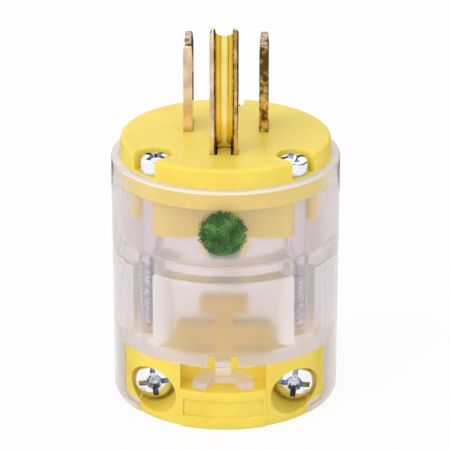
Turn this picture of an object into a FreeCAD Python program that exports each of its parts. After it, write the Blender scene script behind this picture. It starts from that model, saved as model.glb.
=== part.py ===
import FreeCAD, Part
import math
import os
import Sketcher
from FreeCAD import Placement, Rotation, Vector

# Three-pin mains plug, standing on its cord end with the pins up.
# The axis of the housing is Z, the ground pin is on the -Y side, and millimetres are used throughout.

SIZES = {
    # clear housing
    "shell_diameter": 38.1,
    "shell_height": 43.1,
    "shell_wall": 2.0,
    "shell_draft": 0.2,
    "rim_wall": 1.3,
    "face_seat_depth": 3.6,
    "ledge_thickness": 2.5,
    "ledge_bore_diameter": 25.0,
    "boss_diameter": 6.0,
    "boss_foot": 13.5,
    "boss_end_thickness": 1.5,
    "edge_round": 0.4,
    "foot_round": 1.75,
    # window in the housing for the cord clamp
    "window_width": 33.8,
    "window_height": 11.85,
    "toe_window_width": 28.4,
    "toe_height": 1.85,
    "toe_round": 0.7,
    # cord grip
    "jaw_gap": 3.0,
    "jaw_height": 12.0,
    "jaw_bite": 0.5,
    "cord_diameter": 14.0,
    "grip_groove_depth": 0.8,
    "grip_groove_width": 1.4,
    "grip_groove_pitch": 3.4,
    "first_groove": 1.7,
    # spring keeper that hangs from the housing into the clamp's pocket
    "keeper_width": 2.6,
    "keeper_slot_width": 1.25,
    "keeper_slot_height": 1.95,
    "keeper_stem_thickness": 1.4,
    "keeper_stem_bite": 1.2,
    "bow_low": 7.2,
    "bow_thickness": 1.3,
    "bow_width": 10.2,
    "bow_foot_spacing": 5.6,
    "bow_foot_front": 18.0,
    "bow_side_front": 17.4,
    "bow_side_rear": 15.3,
    "bow_waist_width": 3.2,
    "bow_waist_front": 15.3,
    "bow_rear_width": 6.2,
    "bow_rear": 12.6,
    # cord clamp
    "clamp_gap": 0.1,
    "clamp_top_gap": 0.15,
    "clamp_corner_depth": 5.572,
    "clamp_panel_width": 14.4,
    "clamp_panel_proud": 0.3,
    "clamp_pocket_low": 6.7,
    "clamp_pocket_back": 12.2,
    "plate_width": 13.5,
    "plate_low": 2.1,
    "plate_high": 5.1,
    "plate_depth": 0.3,
    "tongue_thickness": 3.2,
    "tongue_width": 3.0,
    "tongue_bar_width": 15.0,
    "tongue_bar_low": 13.2,
    "tongue_bar_height": 3.8,
    "tongue_top_width": 7.8,
    "tongue_top_gap": 5.0,
    "tongue_top_height": 2.4,
    # clamp screws
    "clamp_screw_spacing": 23.7,
    "clamp_screw_height": 5.0,
    "clamp_screw_seat": 7.4,
    "clamp_screw_diameter": 3.5,
    "clamp_screw_reach": 9.0,
    "clamp_screw_hole_end": 10.0,
    "clamp_head_diameter": 6.6,
    "clamp_head_height": 2.6,
    "clamp_head_pocket": 7.8,
    "clamp_screw_clearance": 0.2,
    "clamp_recess_width": 1.0,
    "clamp_recess_length": 5.0,
    "clamp_recess_depth": 1.4,
    # face body
    "face_proud": 3.3,
    "face_round": 0.4,
    "fit_gap": 0.1,
    "block_side_gap": 5.45,
    "block_front_gap": 4.15,
    "block_rear_gap": 5.05,
    "block_depth": 6.5,
    "block_round": 2.6,
    "groove_clearance": 0.2,
    "rib_gap": 0.45,
    "rib_angle": 62.0,
    "rib_diameter": 2.0,
    "rib_length": 5.0,
    # assembly screws
    "screw_edge_distance": 2.65,
    "screw_angle": 49.0,
    "screw_diameter": 3.18,
    "screw_tip_gap": 1.0,
    "screw_head_diameter": 5.15,
    "screw_head_height": 2.75,
    "screw_head_below_face": 0.35,
    "screw_head_round": 0.5,
    "notch_width": 5.4,
    "notch_mouth": 5.5,
    "thread_gap": 0.02,
    "recess_width": 0.8,
    "recess_length": 3.8,
    "recess_depth": 1.2,
    # blades
    "blade_spacing": 12.7,
    "blade_line": 3.87,
    "blade_thickness": 1.52,
    "blade_width": 6.35,
    "blade_length": 16.0,
    "blade_bevel_height": 2.3,
    "blade_tip_thickness": 1.1,
    "blade_corner": 1.3,
    "blade_hole_diameter": 3.2,
    "blade_hole_height": 11.0,
    "shoulder_depth": 5.0,
    "blade_shoulder_width": 8.2,
    "blade_tail_width": 7.0,
    "slot_gap": 0.05,
    # ground pin
    "pin_setback": 11.9,
    "pin_width": 4.7,
    "pin_wall": 0.9,
    "pin_length": 21.7,
    "pin_root_depth": 6.5,
    "pin_nose_height": 1.2,
    "pin_nose_inset": 0.4,
    "pin_web_drop": 3.0,
    "pin_channel_gap": 0.35,
    "pin_shoulder_width": 9.5,
    "pin_tail_width": 8.0,
    # blade retainer and its screw
    "retainer_thickness": 1.9,
    "retainer_pocket_depth": 2.2,
    "pocket_side_wall": 3.4,
    "pocket_end_wall": 1.5,
    "retainer_screw_diameter": 2.5,
    "retainer_screw_length": 7.6,
    "retainer_head_diameter": 4.4,
    "retainer_head_height": 1.5,
    "retainer_recess_width": 0.6,
    "retainer_recess_length": 2.7,
    "retainer_recess_depth": 0.9,
    # terminal screws and wire plates
    "ledge_drop": 4.0,
    "terminal_drop": 3.2,
    "tail_below_terminal": 2.1,
    "terminal_recess_width": 0.8,
    "terminal_recess_length": 3.6,
    "terminal_recess_depth": 1.2,
    "terminal_screw_diameter": 3.2,
    "terminal_screw_length": 4.0,
    "terminal_head_diameter": 5.6,
    "terminal_head_height": 2.0,
    "wire_plate_thickness": 1.0,
    "wire_plate_width": 6.4,
    "wire_plate_height": 5.0,
}


class Size:
    """A length or angle together with the sheet expression that gives it."""

    def __init__(self, value, text):
        self.value = value
        self.text = text

    def __add__(self, other):
        other = as_size(other)
        return Size(self.value + other.value, f"({self.text} + {other.text})")

    def __sub__(self, other):
        other = as_size(other)
        return Size(self.value - other.value, f"({self.text} - {other.text})")

    def __mul__(self, other):
        other = as_size(other)
        return Size(self.value * other.value, f"({self.text} * {other.text})")

    def __truediv__(self, other):
        other = as_size(other)
        return Size(self.value / other.value, f"({self.text} / {other.text})")

    def __neg__(self):
        return Size(-self.value, f"(-1 * {self.text})")


def as_size(number):
    """Give a plain number the form of a Size."""
    if isinstance(number, Size):
        return number
    return Size(float(number), f"({float(number)})")


def sine(angle):
    return Size(math.sin(math.radians(angle.value)), f"sin({angle.text} * 1 deg)")


def cosine(angle):
    return Size(math.cos(math.radians(angle.value)), f"cos({angle.text} * 1 deg)")


def hypotenuse_of(leg_a, leg_b):
    """Longest side of a right triangle, such as the reach of a corner from the axis."""
    square = leg_a * leg_a + leg_b * leg_b
    return Size(math.sqrt(square.value), f"sqrt({square.text})")


def leg(hypotenuse, other_leg):
    """Second leg of a right triangle, such as a point's height on a circle."""
    square = hypotenuse * hypotenuse - other_leg * other_leg
    return Size(math.sqrt(square.value), f"sqrt({square.text})")


class Named:
    """The driving dimensions, each read as an attribute."""

    def __getattr__(self, alias):
        return Size(SIZES[alias], f"Sizes.{alias}")


SIZE = Named()
ZERO = as_size(0)
HALF_TURN = as_size(180)
GRIP_GROOVES = 3
# how far a cut runs past the face that it opens
PAST = SIZE.shell_wall

# heights and radii that several pieces share
SHELL_RADIUS = SIZE.shell_diameter / 2
RIM_RADIUS = SHELL_RADIUS + SIZE.shell_draft
CHAMBER_RADIUS = SHELL_RADIUS - SIZE.shell_wall
FACE_RADIUS = SHELL_RADIUS - SIZE.rim_wall - SIZE.fit_gap
FACE_TOP = SIZE.shell_height + SIZE.face_proud
FACE_SEAT = SIZE.shell_height - SIZE.face_seat_depth
BLOCK_HALF = CHAMBER_RADIUS - SIZE.block_side_gap
BLOCK_FRONT = CHAMBER_RADIUS - SIZE.block_front_gap
BLOCK_REAR = CHAMBER_RADIUS - SIZE.block_rear_gap
BLOCK_FOOT = FACE_SEAT - SIZE.block_depth
LEDGE_TOP = BLOCK_FOOT - SIZE.ledge_drop
LEDGE_FOOT = LEDGE_TOP - SIZE.ledge_thickness
BOSS_HOLE_FOOT = SIZE.boss_foot + SIZE.boss_end_thickness
CORD_RADIUS = SIZE.cord_diameter / 2
JAW_HALF_GAP = SIZE.jaw_gap / 2
SCREW_TOP = FACE_TOP - SIZE.screw_head_below_face
SCREW_SEAT = SCREW_TOP - SIZE.screw_head_height
SCREW_TIP = BOSS_HOLE_FOOT + SIZE.screw_tip_gap
SCREW_CIRCLE = FACE_RADIUS - SIZE.screw_edge_distance
SCREW_RADIUS = SIZE.screw_diameter / 2
SCREW_ANGLES = (SIZE.screw_angle, -SIZE.screw_angle, HALF_TURN)
SHOULDER_TOP = FACE_TOP - SIZE.shoulder_depth
POCKET_HALF = BLOCK_HALF - SIZE.pocket_side_wall
POCKET_FRONT = BLOCK_FRONT - SIZE.pocket_end_wall
POCKET_REAR = BLOCK_REAR - SIZE.pocket_end_wall
RETAINER_TOP = BLOCK_FOOT + SIZE.retainer_pocket_depth
RETAINER_FOOT = RETAINER_TOP - SIZE.retainer_thickness
BLADE_X = SIZE.blade_spacing / 2
PIN_Y = SIZE.blade_line - SIZE.pin_setback
PIN_RADIUS = SIZE.pin_width / 2
PIN_WEB_REAR = PIN_Y + PIN_RADIUS
PIN_WEB_FRONT = PIN_WEB_REAR - SIZE.pin_wall
CLAMP_SCREW_RADIUS = SIZE.clamp_screw_diameter / 2
CLAMP_SCREW_X = SIZE.clamp_screw_spacing / 2
CLAMP_HEIGHT = SIZE.window_height - SIZE.clamp_top_gap
TERMINAL_RADIUS = SIZE.terminal_screw_diameter / 2
TERMINAL_HEIGHT = BLOCK_FOOT - SIZE.terminal_drop
TAIL_FOOT = TERMINAL_HEIGHT - SIZE.tail_below_terminal

doc = FreeCAD.newDocument("plug")


def fill_sheet():
    """Put the driving dimensions in the document's spreadsheet."""
    sheet = doc.addObject("Spreadsheet::Sheet", "Sizes")
    for row, (alias, number) in enumerate(SIZES.items(), start=1):
        cell = f"A{row}"
        sheet.set(cell, str(number))
        sheet.setAlias(cell, alias)
    doc.recompute()


def polar(angle, radial, across):
    """Point at a turn from the front about the plug's axis, so far out and so far across."""
    x = radial * sine(angle) + across * cosine(angle)
    y = across * sine(angle) - radial * cosine(angle)
    return x, y


def bind(sketch, kind, geometry, point, size):
    """Tie one coordinate of a sketch point to the sheet."""
    if size is ZERO:
        axis = -2 if kind == "DistanceX" else -1
        sketch.addConstraint(Sketcher.Constraint("PointOnObject", geometry, point, axis))
        return
    index = sketch.addConstraint(Sketcher.Constraint(kind, -1, 1, geometry, point, size.value))
    sketch.setExpression(f"Constraints[{index}]", size.text)


def circle(x, y, radius):
    """Drawing of a circle about a point."""
    def draw(sketch):
        shape = Part.Circle(Vector(x.value, y.value, 0), Vector(0, 0, 1), radius.value)
        geometry = sketch.addGeometry(shape, False)
        bind(sketch, "DistanceX", geometry, 3, x)
        bind(sketch, "DistanceY", geometry, 3, y)
        index = sketch.addConstraint(Sketcher.Constraint("Radius", geometry, radius.value))
        sketch.setExpression(f"Constraints[{index}]", radius.text)
    return draw


def outline(corners, arcs=None):
    """Drawing of a closed outline; arcs maps a corner to the centre and turn of the arc that leaves it."""
    arcs = arcs or {}

    def draw(sketch):
        pieces = []
        count = len(corners)
        for start in range(count):
            a = Vector(corners[start][0].value, corners[start][1].value, 0)
            end = corners[(start + 1) % count]
            b = Vector(end[0].value, end[1].value, 0)
            if start not in arcs:
                pieces.append((sketch.addGeometry(Part.LineSegment(a, b), False), 1, 2))
                continue
            (cx, cy), turn = arcs[start]
            centre = Vector(cx.value, cy.value, 0)
            first, last = (a, b) if turn == "left" else (b, a)
            ring = Part.Circle(centre, Vector(0, 0, 1), (a - centre).Length)
            from_angle = math.atan2(first.y - centre.y, first.x - centre.x)
            to_angle = math.atan2(last.y - centre.y, last.x - centre.x)
            geometry = sketch.addGeometry(Part.ArcOfCircle(ring, from_angle, to_angle), False)
            bind(sketch, "DistanceX", geometry, 3, cx)
            bind(sketch, "DistanceY", geometry, 3, cy)
            pieces.append((geometry, 1, 2) if turn == "left" else (geometry, 2, 1))
        for start in range(count):
            geometry, _, end_point = pieces[start]
            following, start_point, _ = pieces[(start + 1) % count]
            ends = (geometry, end_point, following, start_point)
            sketch.addConstraint(Sketcher.Constraint("Coincident", *ends))
        for start in range(count):
            x, y = corners[start]
            geometry, start_point, _ = pieces[start]
            # the far end of an arc slides along it, so only one of its coordinates is tied
            before = arcs.get((start - 1) % count)
            wide = before and abs(x.value - before[0][0].value) > abs(y.value - before[0][1].value)
            if not (before and wide):
                bind(sketch, "DistanceX", geometry, start_point, x)
            if not before or wide:
                bind(sketch, "DistanceY", geometry, start_point, y)
    return draw


def rectangle(left, right, low, high):
    return outline([(left, low), (right, low), (right, high), (left, high)])


def centred(width, low, high):
    """Rectangle of a width, centred on the upright axis of its sketch."""
    return rectangle(-width / 2, width / 2, low, high)


def cross(x, y, length, width):
    """Outline of a screw's cross recess."""
    arm = length / 2
    bar = width / 2
    quarter = [(arm, -bar), (arm, bar), (bar, bar), (bar, arm), (-bar, arm), (-bar, bar)]
    corners = quarter + [(-dx, -dy) for dx, dy in quarter]
    return outline([(x + dx, y + dy) for dx, dy in corners])


PLANES = {"X": "YZ_Plane", "Y": "XZ_Plane", "Z": "XY_Plane"}


def new_body(label):
    body = doc.addObject("PartDesign::Body", label)
    body.Label = label
    body.Placement = Placement()
    body.AllowCompound = True
    return body


def new_sketch(body, name, axis, offset, drawings):
    """Sketch square to an axis of the plug, on one of the body's own origin planes."""
    sketch = body.newObject("Sketcher::SketchObject", f"{name}_sketch")
    plane = next(item for item in body.Origin.OriginFeatures if item.Role == PLANES[axis])
    sketch.AttachmentSupport = [(plane, "")]
    sketch.MapMode = "FlatFace"
    sketch.AttachmentOffset = Placement(Vector(0, 0, offset.value), Rotation())
    sketch.setExpression("AttachmentOffset.Base.z", offset.text)
    for draw in drawings:
        draw(sketch)
    return sketch


def extrude(body, name, axis, low, high, drawings, cut=False):
    """Pad or pocket the drawings along X, Y or Z between two places on that axis."""
    # the plane square to Y faces -Y, so its sketch lies at the high end
    offset = -high if axis == "Y" else low
    sketch = new_sketch(body, name, axis, offset, drawings)
    before = body.Shape.Volume if cut else 0
    feature = body.newObject("PartDesign::Pocket" if cut else "PartDesign::Pad", name)
    feature.Profile = sketch
    feature.Reversed = cut
    length = high - low
    feature.Length = length.value
    feature.setExpression("Length", length.text)
    doc.recompute()
    if cut and body.Shape.Volume > before - 1e-6:
        raise RuntimeError(f"{name} cuts nothing from {body.Label}")
    return feature


def carve(body, name, axis, low, high, drawings):
    return extrude(body, name, axis, low, high, drawings, cut=True)


def revolve(body, name, corners):
    """Turn a half section, given as radius and height, about the plug's axis."""
    sketch = new_sketch(body, name, "Y", ZERO, [outline(corners)])
    feature = body.newObject("PartDesign::Revolution", name)
    feature.Profile = sketch
    feature.ReferenceAxis = (sketch, ["V_Axis"])
    feature.Angle = 360
    doc.recompute()
    return feature


def soften(body, name, radius, wanted):
    """Round the edges of the body that pass a test."""
    base = body.Tip
    edges = [f"Edge{number}" for number, edge in enumerate(base.Shape.Edges, start=1) if wanted(edge)]
    feature = body.newObject("PartDesign::Fillet", name)
    feature.Base = (base, edges)
    feature.Radius = radius.value
    feature.setExpression("Radius", radius.text)
    doc.recompute()
    return feature


def is_ring(radius, height):
    """Test for a round edge about a vertical axis, of a radius and at a height."""
    def wanted(edge):
        curve = edge.Curve
        if not isinstance(curve, Part.Circle):
            return False
        level = abs(curve.Axis.z) > 0.99 and abs(curve.Center.z - height.value) < 1e-4
        return level and abs(curve.Radius - radius.value) < 1e-4
    return wanted


def is_upright(corners):
    """Test for a straight vertical edge at one of some corners."""
    def wanted(edge):
        box = edge.BoundBox
        if box.ZLength < 1e-3 or box.XLength > 1e-4 or box.YLength > 1e-4:
            return False
        return any(abs(box.XMin - x.value) < 1e-3 and abs(box.YMin - y.value) < 1e-3 for x, y in corners)
    return wanted


def screw_places():
    return [polar(angle, SCREW_CIRCLE, ZERO) for angle in SCREW_ANGLES]


def notch(angle):
    """Flared U that lets a screw head into the rim of the face."""
    narrow = SIZE.notch_width / 2
    mouth = SIZE.notch_mouth / 2
    flare = (mouth - narrow) / SIZE.screw_edge_distance
    outside = FACE_RADIUS + PAST
    wide = mouth + flare * PAST
    corners = [
        polar(angle, SCREW_CIRCLE, -narrow),
        polar(angle, outside, -wide),
        polar(angle, outside, wide),
        polar(angle, SCREW_CIRCLE, narrow),
    ]
    return outline(corners, {3: (polar(angle, SCREW_CIRCLE, ZERO), "left")})


def pin_section(gap, channel_gap):
    """U section of the ground pin, open towards -Y and grown by a gap outside and one in its channel."""
    outer = PIN_RADIUS + gap
    inner = PIN_RADIUS - SIZE.pin_wall - channel_gap
    front = PIN_Y - PIN_RADIUS - gap
    corners = [
        (-outer, front),
        (-inner, front),
        (-inner, PIN_Y),
        (inner, PIN_Y),
        (inner, front),
        (outer, front),
        (outer, PIN_Y),
        (-outer, PIN_Y),
    ]
    return outline(corners, {2: ((ZERO, PIN_Y), "right"), 6: ((ZERO, PIN_Y), "left")})


def blade_slot(side, width, gap):
    x = BLADE_X * side
    half = SIZE.blade_thickness / 2 + gap
    reach = width / 2 + gap
    return rectangle(x - half, x + half, SIZE.blade_line - reach, SIZE.blade_line + reach)


def pin_slot(width, gap):
    reach = width / 2 + gap
    return rectangle(-reach, reach, PIN_WEB_FRONT - gap, PIN_WEB_REAR + gap)


def build_face_body():
    body = new_body("face_body")
    extrude(body, "face_disc", "Z", FACE_SEAT, FACE_TOP, [circle(ZERO, ZERO, FACE_RADIUS)])
    soften(body, "face_edge", SIZE.face_round, is_ring(FACE_RADIUS, FACE_TOP))
    block = rectangle(-BLOCK_HALF, BLOCK_HALF, -BLOCK_FRONT, BLOCK_REAR)
    extrude(body, "terminal_block", "Z", BLOCK_FOOT, FACE_SEAT, [block])
    block_corners = [(x, y) for x in (-BLOCK_HALF, BLOCK_HALF) for y in (-BLOCK_FRONT, BLOCK_REAR)]
    soften(body, "block_corners", SIZE.block_round, is_upright(block_corners))
    rib_circle = CHAMBER_RADIUS - SIZE.rib_gap - SIZE.rib_diameter / 2
    ribs = [polar(SIZE.rib_angle * side, rib_circle, ZERO) for side in (-1, 1)]
    rib_drawings = [circle(x, y, SIZE.rib_diameter / 2) for x, y in ribs]
    extrude(body, "locating_ribs", "Z", FACE_SEAT - SIZE.rib_length, FACE_SEAT, rib_drawings)
    carve(body, "screw_notches", "Z", SCREW_SEAT, FACE_TOP + PAST, [notch(angle) for angle in SCREW_ANGLES])
    groove = SCREW_RADIUS + SIZE.groove_clearance
    groove_drawings = [circle(x, y, groove) for x, y in screw_places()]
    carve(body, "screw_holes", "Z", BLOCK_FOOT - PAST, SCREW_SEAT, groove_drawings)
    gap = SIZE.slot_gap
    pocket = rectangle(-POCKET_HALF, POCKET_HALF, -POCKET_FRONT, POCKET_REAR)
    carve(body, "retainer_pocket", "Z", BLOCK_FOOT - PAST, RETAINER_TOP, [pocket])
    shoulders = [blade_slot(side, SIZE.blade_shoulder_width, gap) for side in (-1, 1)]
    shoulders.append(pin_slot(SIZE.pin_shoulder_width, gap))
    carve(body, "shoulder_slots", "Z", BLOCK_FOOT - PAST, SHOULDER_TOP + gap, shoulders)
    slots = [blade_slot(side, SIZE.blade_width, gap) for side in (-1, 1)]
    carve(body, "blade_slots", "Z", SHOULDER_TOP, FACE_TOP + PAST, slots)
    pin_root = FACE_TOP - SIZE.pin_root_depth - gap
    carve(body, "pin_slot", "Z", pin_root, FACE_TOP + PAST, [pin_section(gap, SIZE.pin_channel_gap)])
    hole_top = RETAINER_FOOT + SIZE.retainer_screw_length + SIZE.fit_gap
    hole = circle(ZERO, SIZE.blade_line, SIZE.retainer_screw_diameter / 2 + SIZE.thread_gap)
    carve(body, "retainer_screw_hole", "Z", RETAINER_TOP, hole_top, [hole])
    return body


def build_blade(label, side):
    """One flat blade with its bevelled tip, its shoulder in the body and its terminal tail."""
    body = new_body(label)
    x = BLADE_X * side
    low = x - SIZE.blade_thickness / 2
    high = x + SIZE.blade_thickness / 2
    tip = FACE_TOP + SIZE.blade_length
    middle = SIZE.blade_line
    widths = [SIZE.blade_tail_width / 2, SIZE.blade_shoulder_width / 2, SIZE.blade_width / 2]
    heights = [TAIL_FOOT, RETAINER_TOP, SHOULDER_TOP, tip]
    right = []
    for step, half in enumerate(widths):
        right.append((half, heights[step]))
        right.append((half, heights[step + 1]))
    right[-1] = (widths[-1], tip - SIZE.blade_corner)
    right.append((widths[-1] - SIZE.blade_corner, tip))
    corners = [(middle + half, z) for half, z in right]
    corners += [(middle - half, z) for half, z in reversed(right)]
    extrude(body, f"{label}_sheet", "X", low, high, [outline(corners)])
    inset = (SIZE.blade_thickness - SIZE.blade_tip_thickness) / 2
    bevel_foot = tip - SIZE.blade_bevel_height
    bevels = [
        outline([(low, bevel_foot), (low + inset, tip), (low, tip)]),
        outline([(high, bevel_foot), (high, tip), (high - inset, tip)]),
    ]
    reach = SIZE.blade_width
    carve(body, f"{label}_tip", "Y", middle - reach, middle + reach, bevels)
    holes = [
        circle(middle, FACE_TOP + SIZE.blade_hole_height, SIZE.blade_hole_diameter / 2),
        circle(middle, TERMINAL_HEIGHT, TERMINAL_RADIUS + SIZE.thread_gap),
    ]
    carve(body, f"{label}_holes", "X", low - PAST, high + PAST, holes)
    return body


def build_ground_pin():
    body = new_body("ground_pin")
    tip = FACE_TOP + SIZE.pin_length
    root = FACE_TOP - SIZE.pin_root_depth
    extrude(body, "pin_channel", "Z", root, tip, [pin_section(ZERO, ZERO)])
    tail = SIZE.pin_tail_width / 2
    shoulder = SIZE.pin_shoulder_width / 2
    right = [
        (tail, TAIL_FOOT),
        (tail, RETAINER_TOP),
        (shoulder, RETAINER_TOP),
        (shoulder, SHOULDER_TOP),
    ]
    corners = right + [(-x, z) for x, z in reversed(right)]
    extrude(body, "pin_tail", "Y", PIN_WEB_FRONT, PIN_WEB_REAR, [outline(corners)])
    nose_foot = tip - SIZE.pin_nose_height
    nose = []
    for side in (-1, 1):
        edge = PIN_RADIUS * side
        inner = (PIN_RADIUS - SIZE.pin_nose_inset) * side
        nose.append(outline([(edge, nose_foot), (edge, tip), (inner, tip)]))
    carve(body, "pin_nose", "Y", PIN_Y - SIZE.pin_width, PIN_Y + SIZE.pin_width, nose)
    slope = outline([
        (PIN_Y - PIN_RADIUS + SIZE.pin_wall, tip),
        (PIN_WEB_REAR, tip - SIZE.pin_web_drop),
        (PIN_WEB_REAR, tip),
    ])
    carve(body, "pin_web_slope", "X", -SIZE.pin_width, SIZE.pin_width, [slope])
    hole = circle(ZERO, TERMINAL_HEIGHT, TERMINAL_RADIUS + SIZE.thread_gap)
    carve(body, "pin_terminal_hole", "Y", PIN_WEB_FRONT - PAST, PIN_WEB_REAR + PAST, [hole])
    return body


def build_retainer():
    body = new_body("blade_retainer")
    fit = SIZE.fit_gap
    plate = rectangle(fit - POCKET_HALF, POCKET_HALF - fit, fit - POCKET_FRONT, POCKET_REAR - fit)
    extrude(body, "retainer_plate", "Z", RETAINER_FOOT, RETAINER_TOP, [plate])
    gap = SIZE.slot_gap
    slots = [blade_slot(side, SIZE.blade_tail_width, gap) for side in (-1, 1)]
    slots.append(pin_slot(SIZE.pin_tail_width, gap))
    slots.append(circle(ZERO, SIZE.blade_line, SIZE.retainer_screw_diameter / 2 + SIZE.slot_gap))
    carve(body, "retainer_slots", "Z", RETAINER_FOOT - PAST, RETAINER_TOP + PAST, slots)
    return body


def build_retainer_screw():
    body = new_body("retainer_screw")
    head = circle(ZERO, SIZE.blade_line, SIZE.retainer_head_diameter / 2)
    head_foot = RETAINER_FOOT - SIZE.retainer_head_height
    extrude(body, "retainer_screw_head", "Z", head_foot, RETAINER_FOOT, [head])
    shank = circle(ZERO, SIZE.blade_line, SIZE.retainer_screw_diameter / 2)
    shank_top = RETAINER_FOOT + SIZE.retainer_screw_length
    extrude(body, "retainer_screw_shank", "Z", RETAINER_FOOT, shank_top, [shank])
    recess = cross(ZERO, SIZE.blade_line, SIZE.retainer_recess_length, SIZE.retainer_recess_width)
    recess_top = head_foot + SIZE.retainer_recess_depth
    carve(body, "retainer_screw_recess", "Z", head_foot - PAST, recess_top, [recess])
    return body


def terminal_extent(direction, seat, start, stop):
    """Low and high ends of a stretch that leads out from a seat in a direction."""
    first = seat + start * direction
    last = seat + stop * direction
    return (first, last) if direction > 0 else (last, first)


def build_terminal(name, axis, direction, seat, across):
    """Wire plate and screw of one terminal; the seat is the outer face of the tail."""
    plate = new_body(f"{name}_wire_plate")
    half_width = SIZE.wire_plate_width / 2
    half_height = SIZE.wire_plate_height / 2
    height = TERMINAL_HEIGHT
    form = rectangle(across - half_width, across + half_width, height - half_height, height + half_height)
    low, high = terminal_extent(direction, seat, ZERO, SIZE.wire_plate_thickness)
    extrude(plate, f"{name}_plate", axis, low, high, [form])
    hole = circle(across, height, TERMINAL_RADIUS + SIZE.slot_gap)
    carve(plate, f"{name}_plate_hole", axis, low - PAST, high + PAST, [hole])
    screw = new_body(f"{name}_terminal_screw")
    head_start = SIZE.wire_plate_thickness
    head_stop = head_start + SIZE.terminal_head_height
    low, high = terminal_extent(direction, seat, head_start, head_stop)
    head = circle(across, height, SIZE.terminal_head_diameter / 2)
    extrude(screw, f"{name}_screw_head", axis, low, high, [head])
    shank_stop = head_start - SIZE.terminal_screw_length
    low, high = terminal_extent(-direction, seat, -head_start, -shank_stop)
    extrude(screw, f"{name}_screw_shank", axis, low, high, [circle(across, height, TERMINAL_RADIUS)])
    recess = cross(across, height, SIZE.terminal_recess_length, SIZE.terminal_recess_width)
    recess_start = head_stop - SIZE.terminal_recess_depth
    low, high = terminal_extent(direction, seat, recess_start, head_stop + PAST)
    carve(screw, f"{name}_screw_recess", axis, low, high, [recess])
    return [plate, screw]


def groove_levels():
    """Low and high ends of the grip grooves that both halves of the cord grip share."""
    levels = []
    for number in range(GRIP_GROOVES):
        low = SIZE.first_groove + SIZE.grip_groove_pitch * number
        levels.append((low, low + SIZE.grip_groove_width))
    return levels


def carve_cord_bore(body, name, top):
    """Cord bore with its grip grooves, from the cord end up to a height."""
    carve(body, f"{name}_bore", "Z", -PAST, top, [circle(ZERO, ZERO, CORD_RADIUS)])
    groove = circle(ZERO, ZERO, CORD_RADIUS + SIZE.grip_groove_depth)
    for number, (low, high) in enumerate(groove_levels(), start=1):
        carve(body, f"{name}_groove_{number}", "Z", low, high, [groove])


def window_outline():
    """Outline of the window for the cord clamp, narrower between the toes that hook in at its foot."""
    wide = SIZE.window_width / 2
    toe = SIZE.toe_window_width / 2
    bend_x = wide - SIZE.toe_round
    bend_z = SIZE.toe_height + SIZE.toe_round
    right = [
        (toe, -PAST),
        (toe, SIZE.toe_height),
        (bend_x, SIZE.toe_height),
        (wide, bend_z),
        (wide, SIZE.window_height),
    ]
    bends = {2: ((bend_x, bend_z), "left"), 6: ((-bend_x, bend_z), "left")}
    return outline(right + [(-x, z) for x, z in reversed(right)], bends)


def build_shell():
    body = new_body("shell")
    socket = FACE_RADIUS + SIZE.fit_gap
    hole = SIZE.ledge_bore_diameter / 2
    revolve(body, "shell_section", [
        (SHELL_RADIUS, ZERO),
        (RIM_RADIUS, SIZE.shell_height),
        (socket, SIZE.shell_height),
        (socket, FACE_SEAT),
        (CHAMBER_RADIUS, FACE_SEAT),
        (CHAMBER_RADIUS, LEDGE_TOP),
        (hole, LEDGE_TOP),
        (hole, LEDGE_FOOT),
        (CHAMBER_RADIUS, LEDGE_FOOT),
        (CHAMBER_RADIUS, ZERO),
    ])
    soften(body, "shell_rim", SIZE.edge_round, is_ring(RIM_RADIUS, SIZE.shell_height))
    soften(body, "shell_foot", SIZE.foot_round, is_ring(SHELL_RADIUS, ZERO))
    bosses = [circle(x, y, SIZE.boss_diameter / 2) for x, y in screw_places()]
    extrude(body, "screw_bosses", "Z", SIZE.boss_foot, LEDGE_TOP, bosses)
    jaw_radius = CHAMBER_RADIUS + SIZE.jaw_bite
    side = leg(jaw_radius, JAW_HALF_GAP)
    jaw = outline([(-side, JAW_HALF_GAP), (side, JAW_HALF_GAP)], {1: ((ZERO, ZERO), "left")})
    extrude(body, "rear_jaw", "Z", ZERO, SIZE.jaw_height, [jaw])
    carve_cord_bore(body, "rear_jaw", SIZE.jaw_height + PAST)
    thread = SCREW_RADIUS + SIZE.thread_gap
    threads = [circle(x, y, thread) for x, y in screw_places()]
    carve(body, "boss_holes", "Z", BOSS_HOLE_FOOT, LEDGE_TOP + PAST, threads)
    carve(body, "clamp_window", "Y", -SHELL_RADIUS - PAST, -JAW_HALF_GAP, [window_outline()])
    clamp_thread = CLAMP_SCREW_RADIUS + SIZE.thread_gap
    clamp_holes = [circle(CLAMP_SCREW_X * turn, SIZE.clamp_screw_height, clamp_thread) for turn in (-1, 1)]
    carve(body, "clamp_screw_holes", "Y", -PAST, SIZE.clamp_screw_hole_end, clamp_holes)
    add_keeper(body)
    return body


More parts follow.
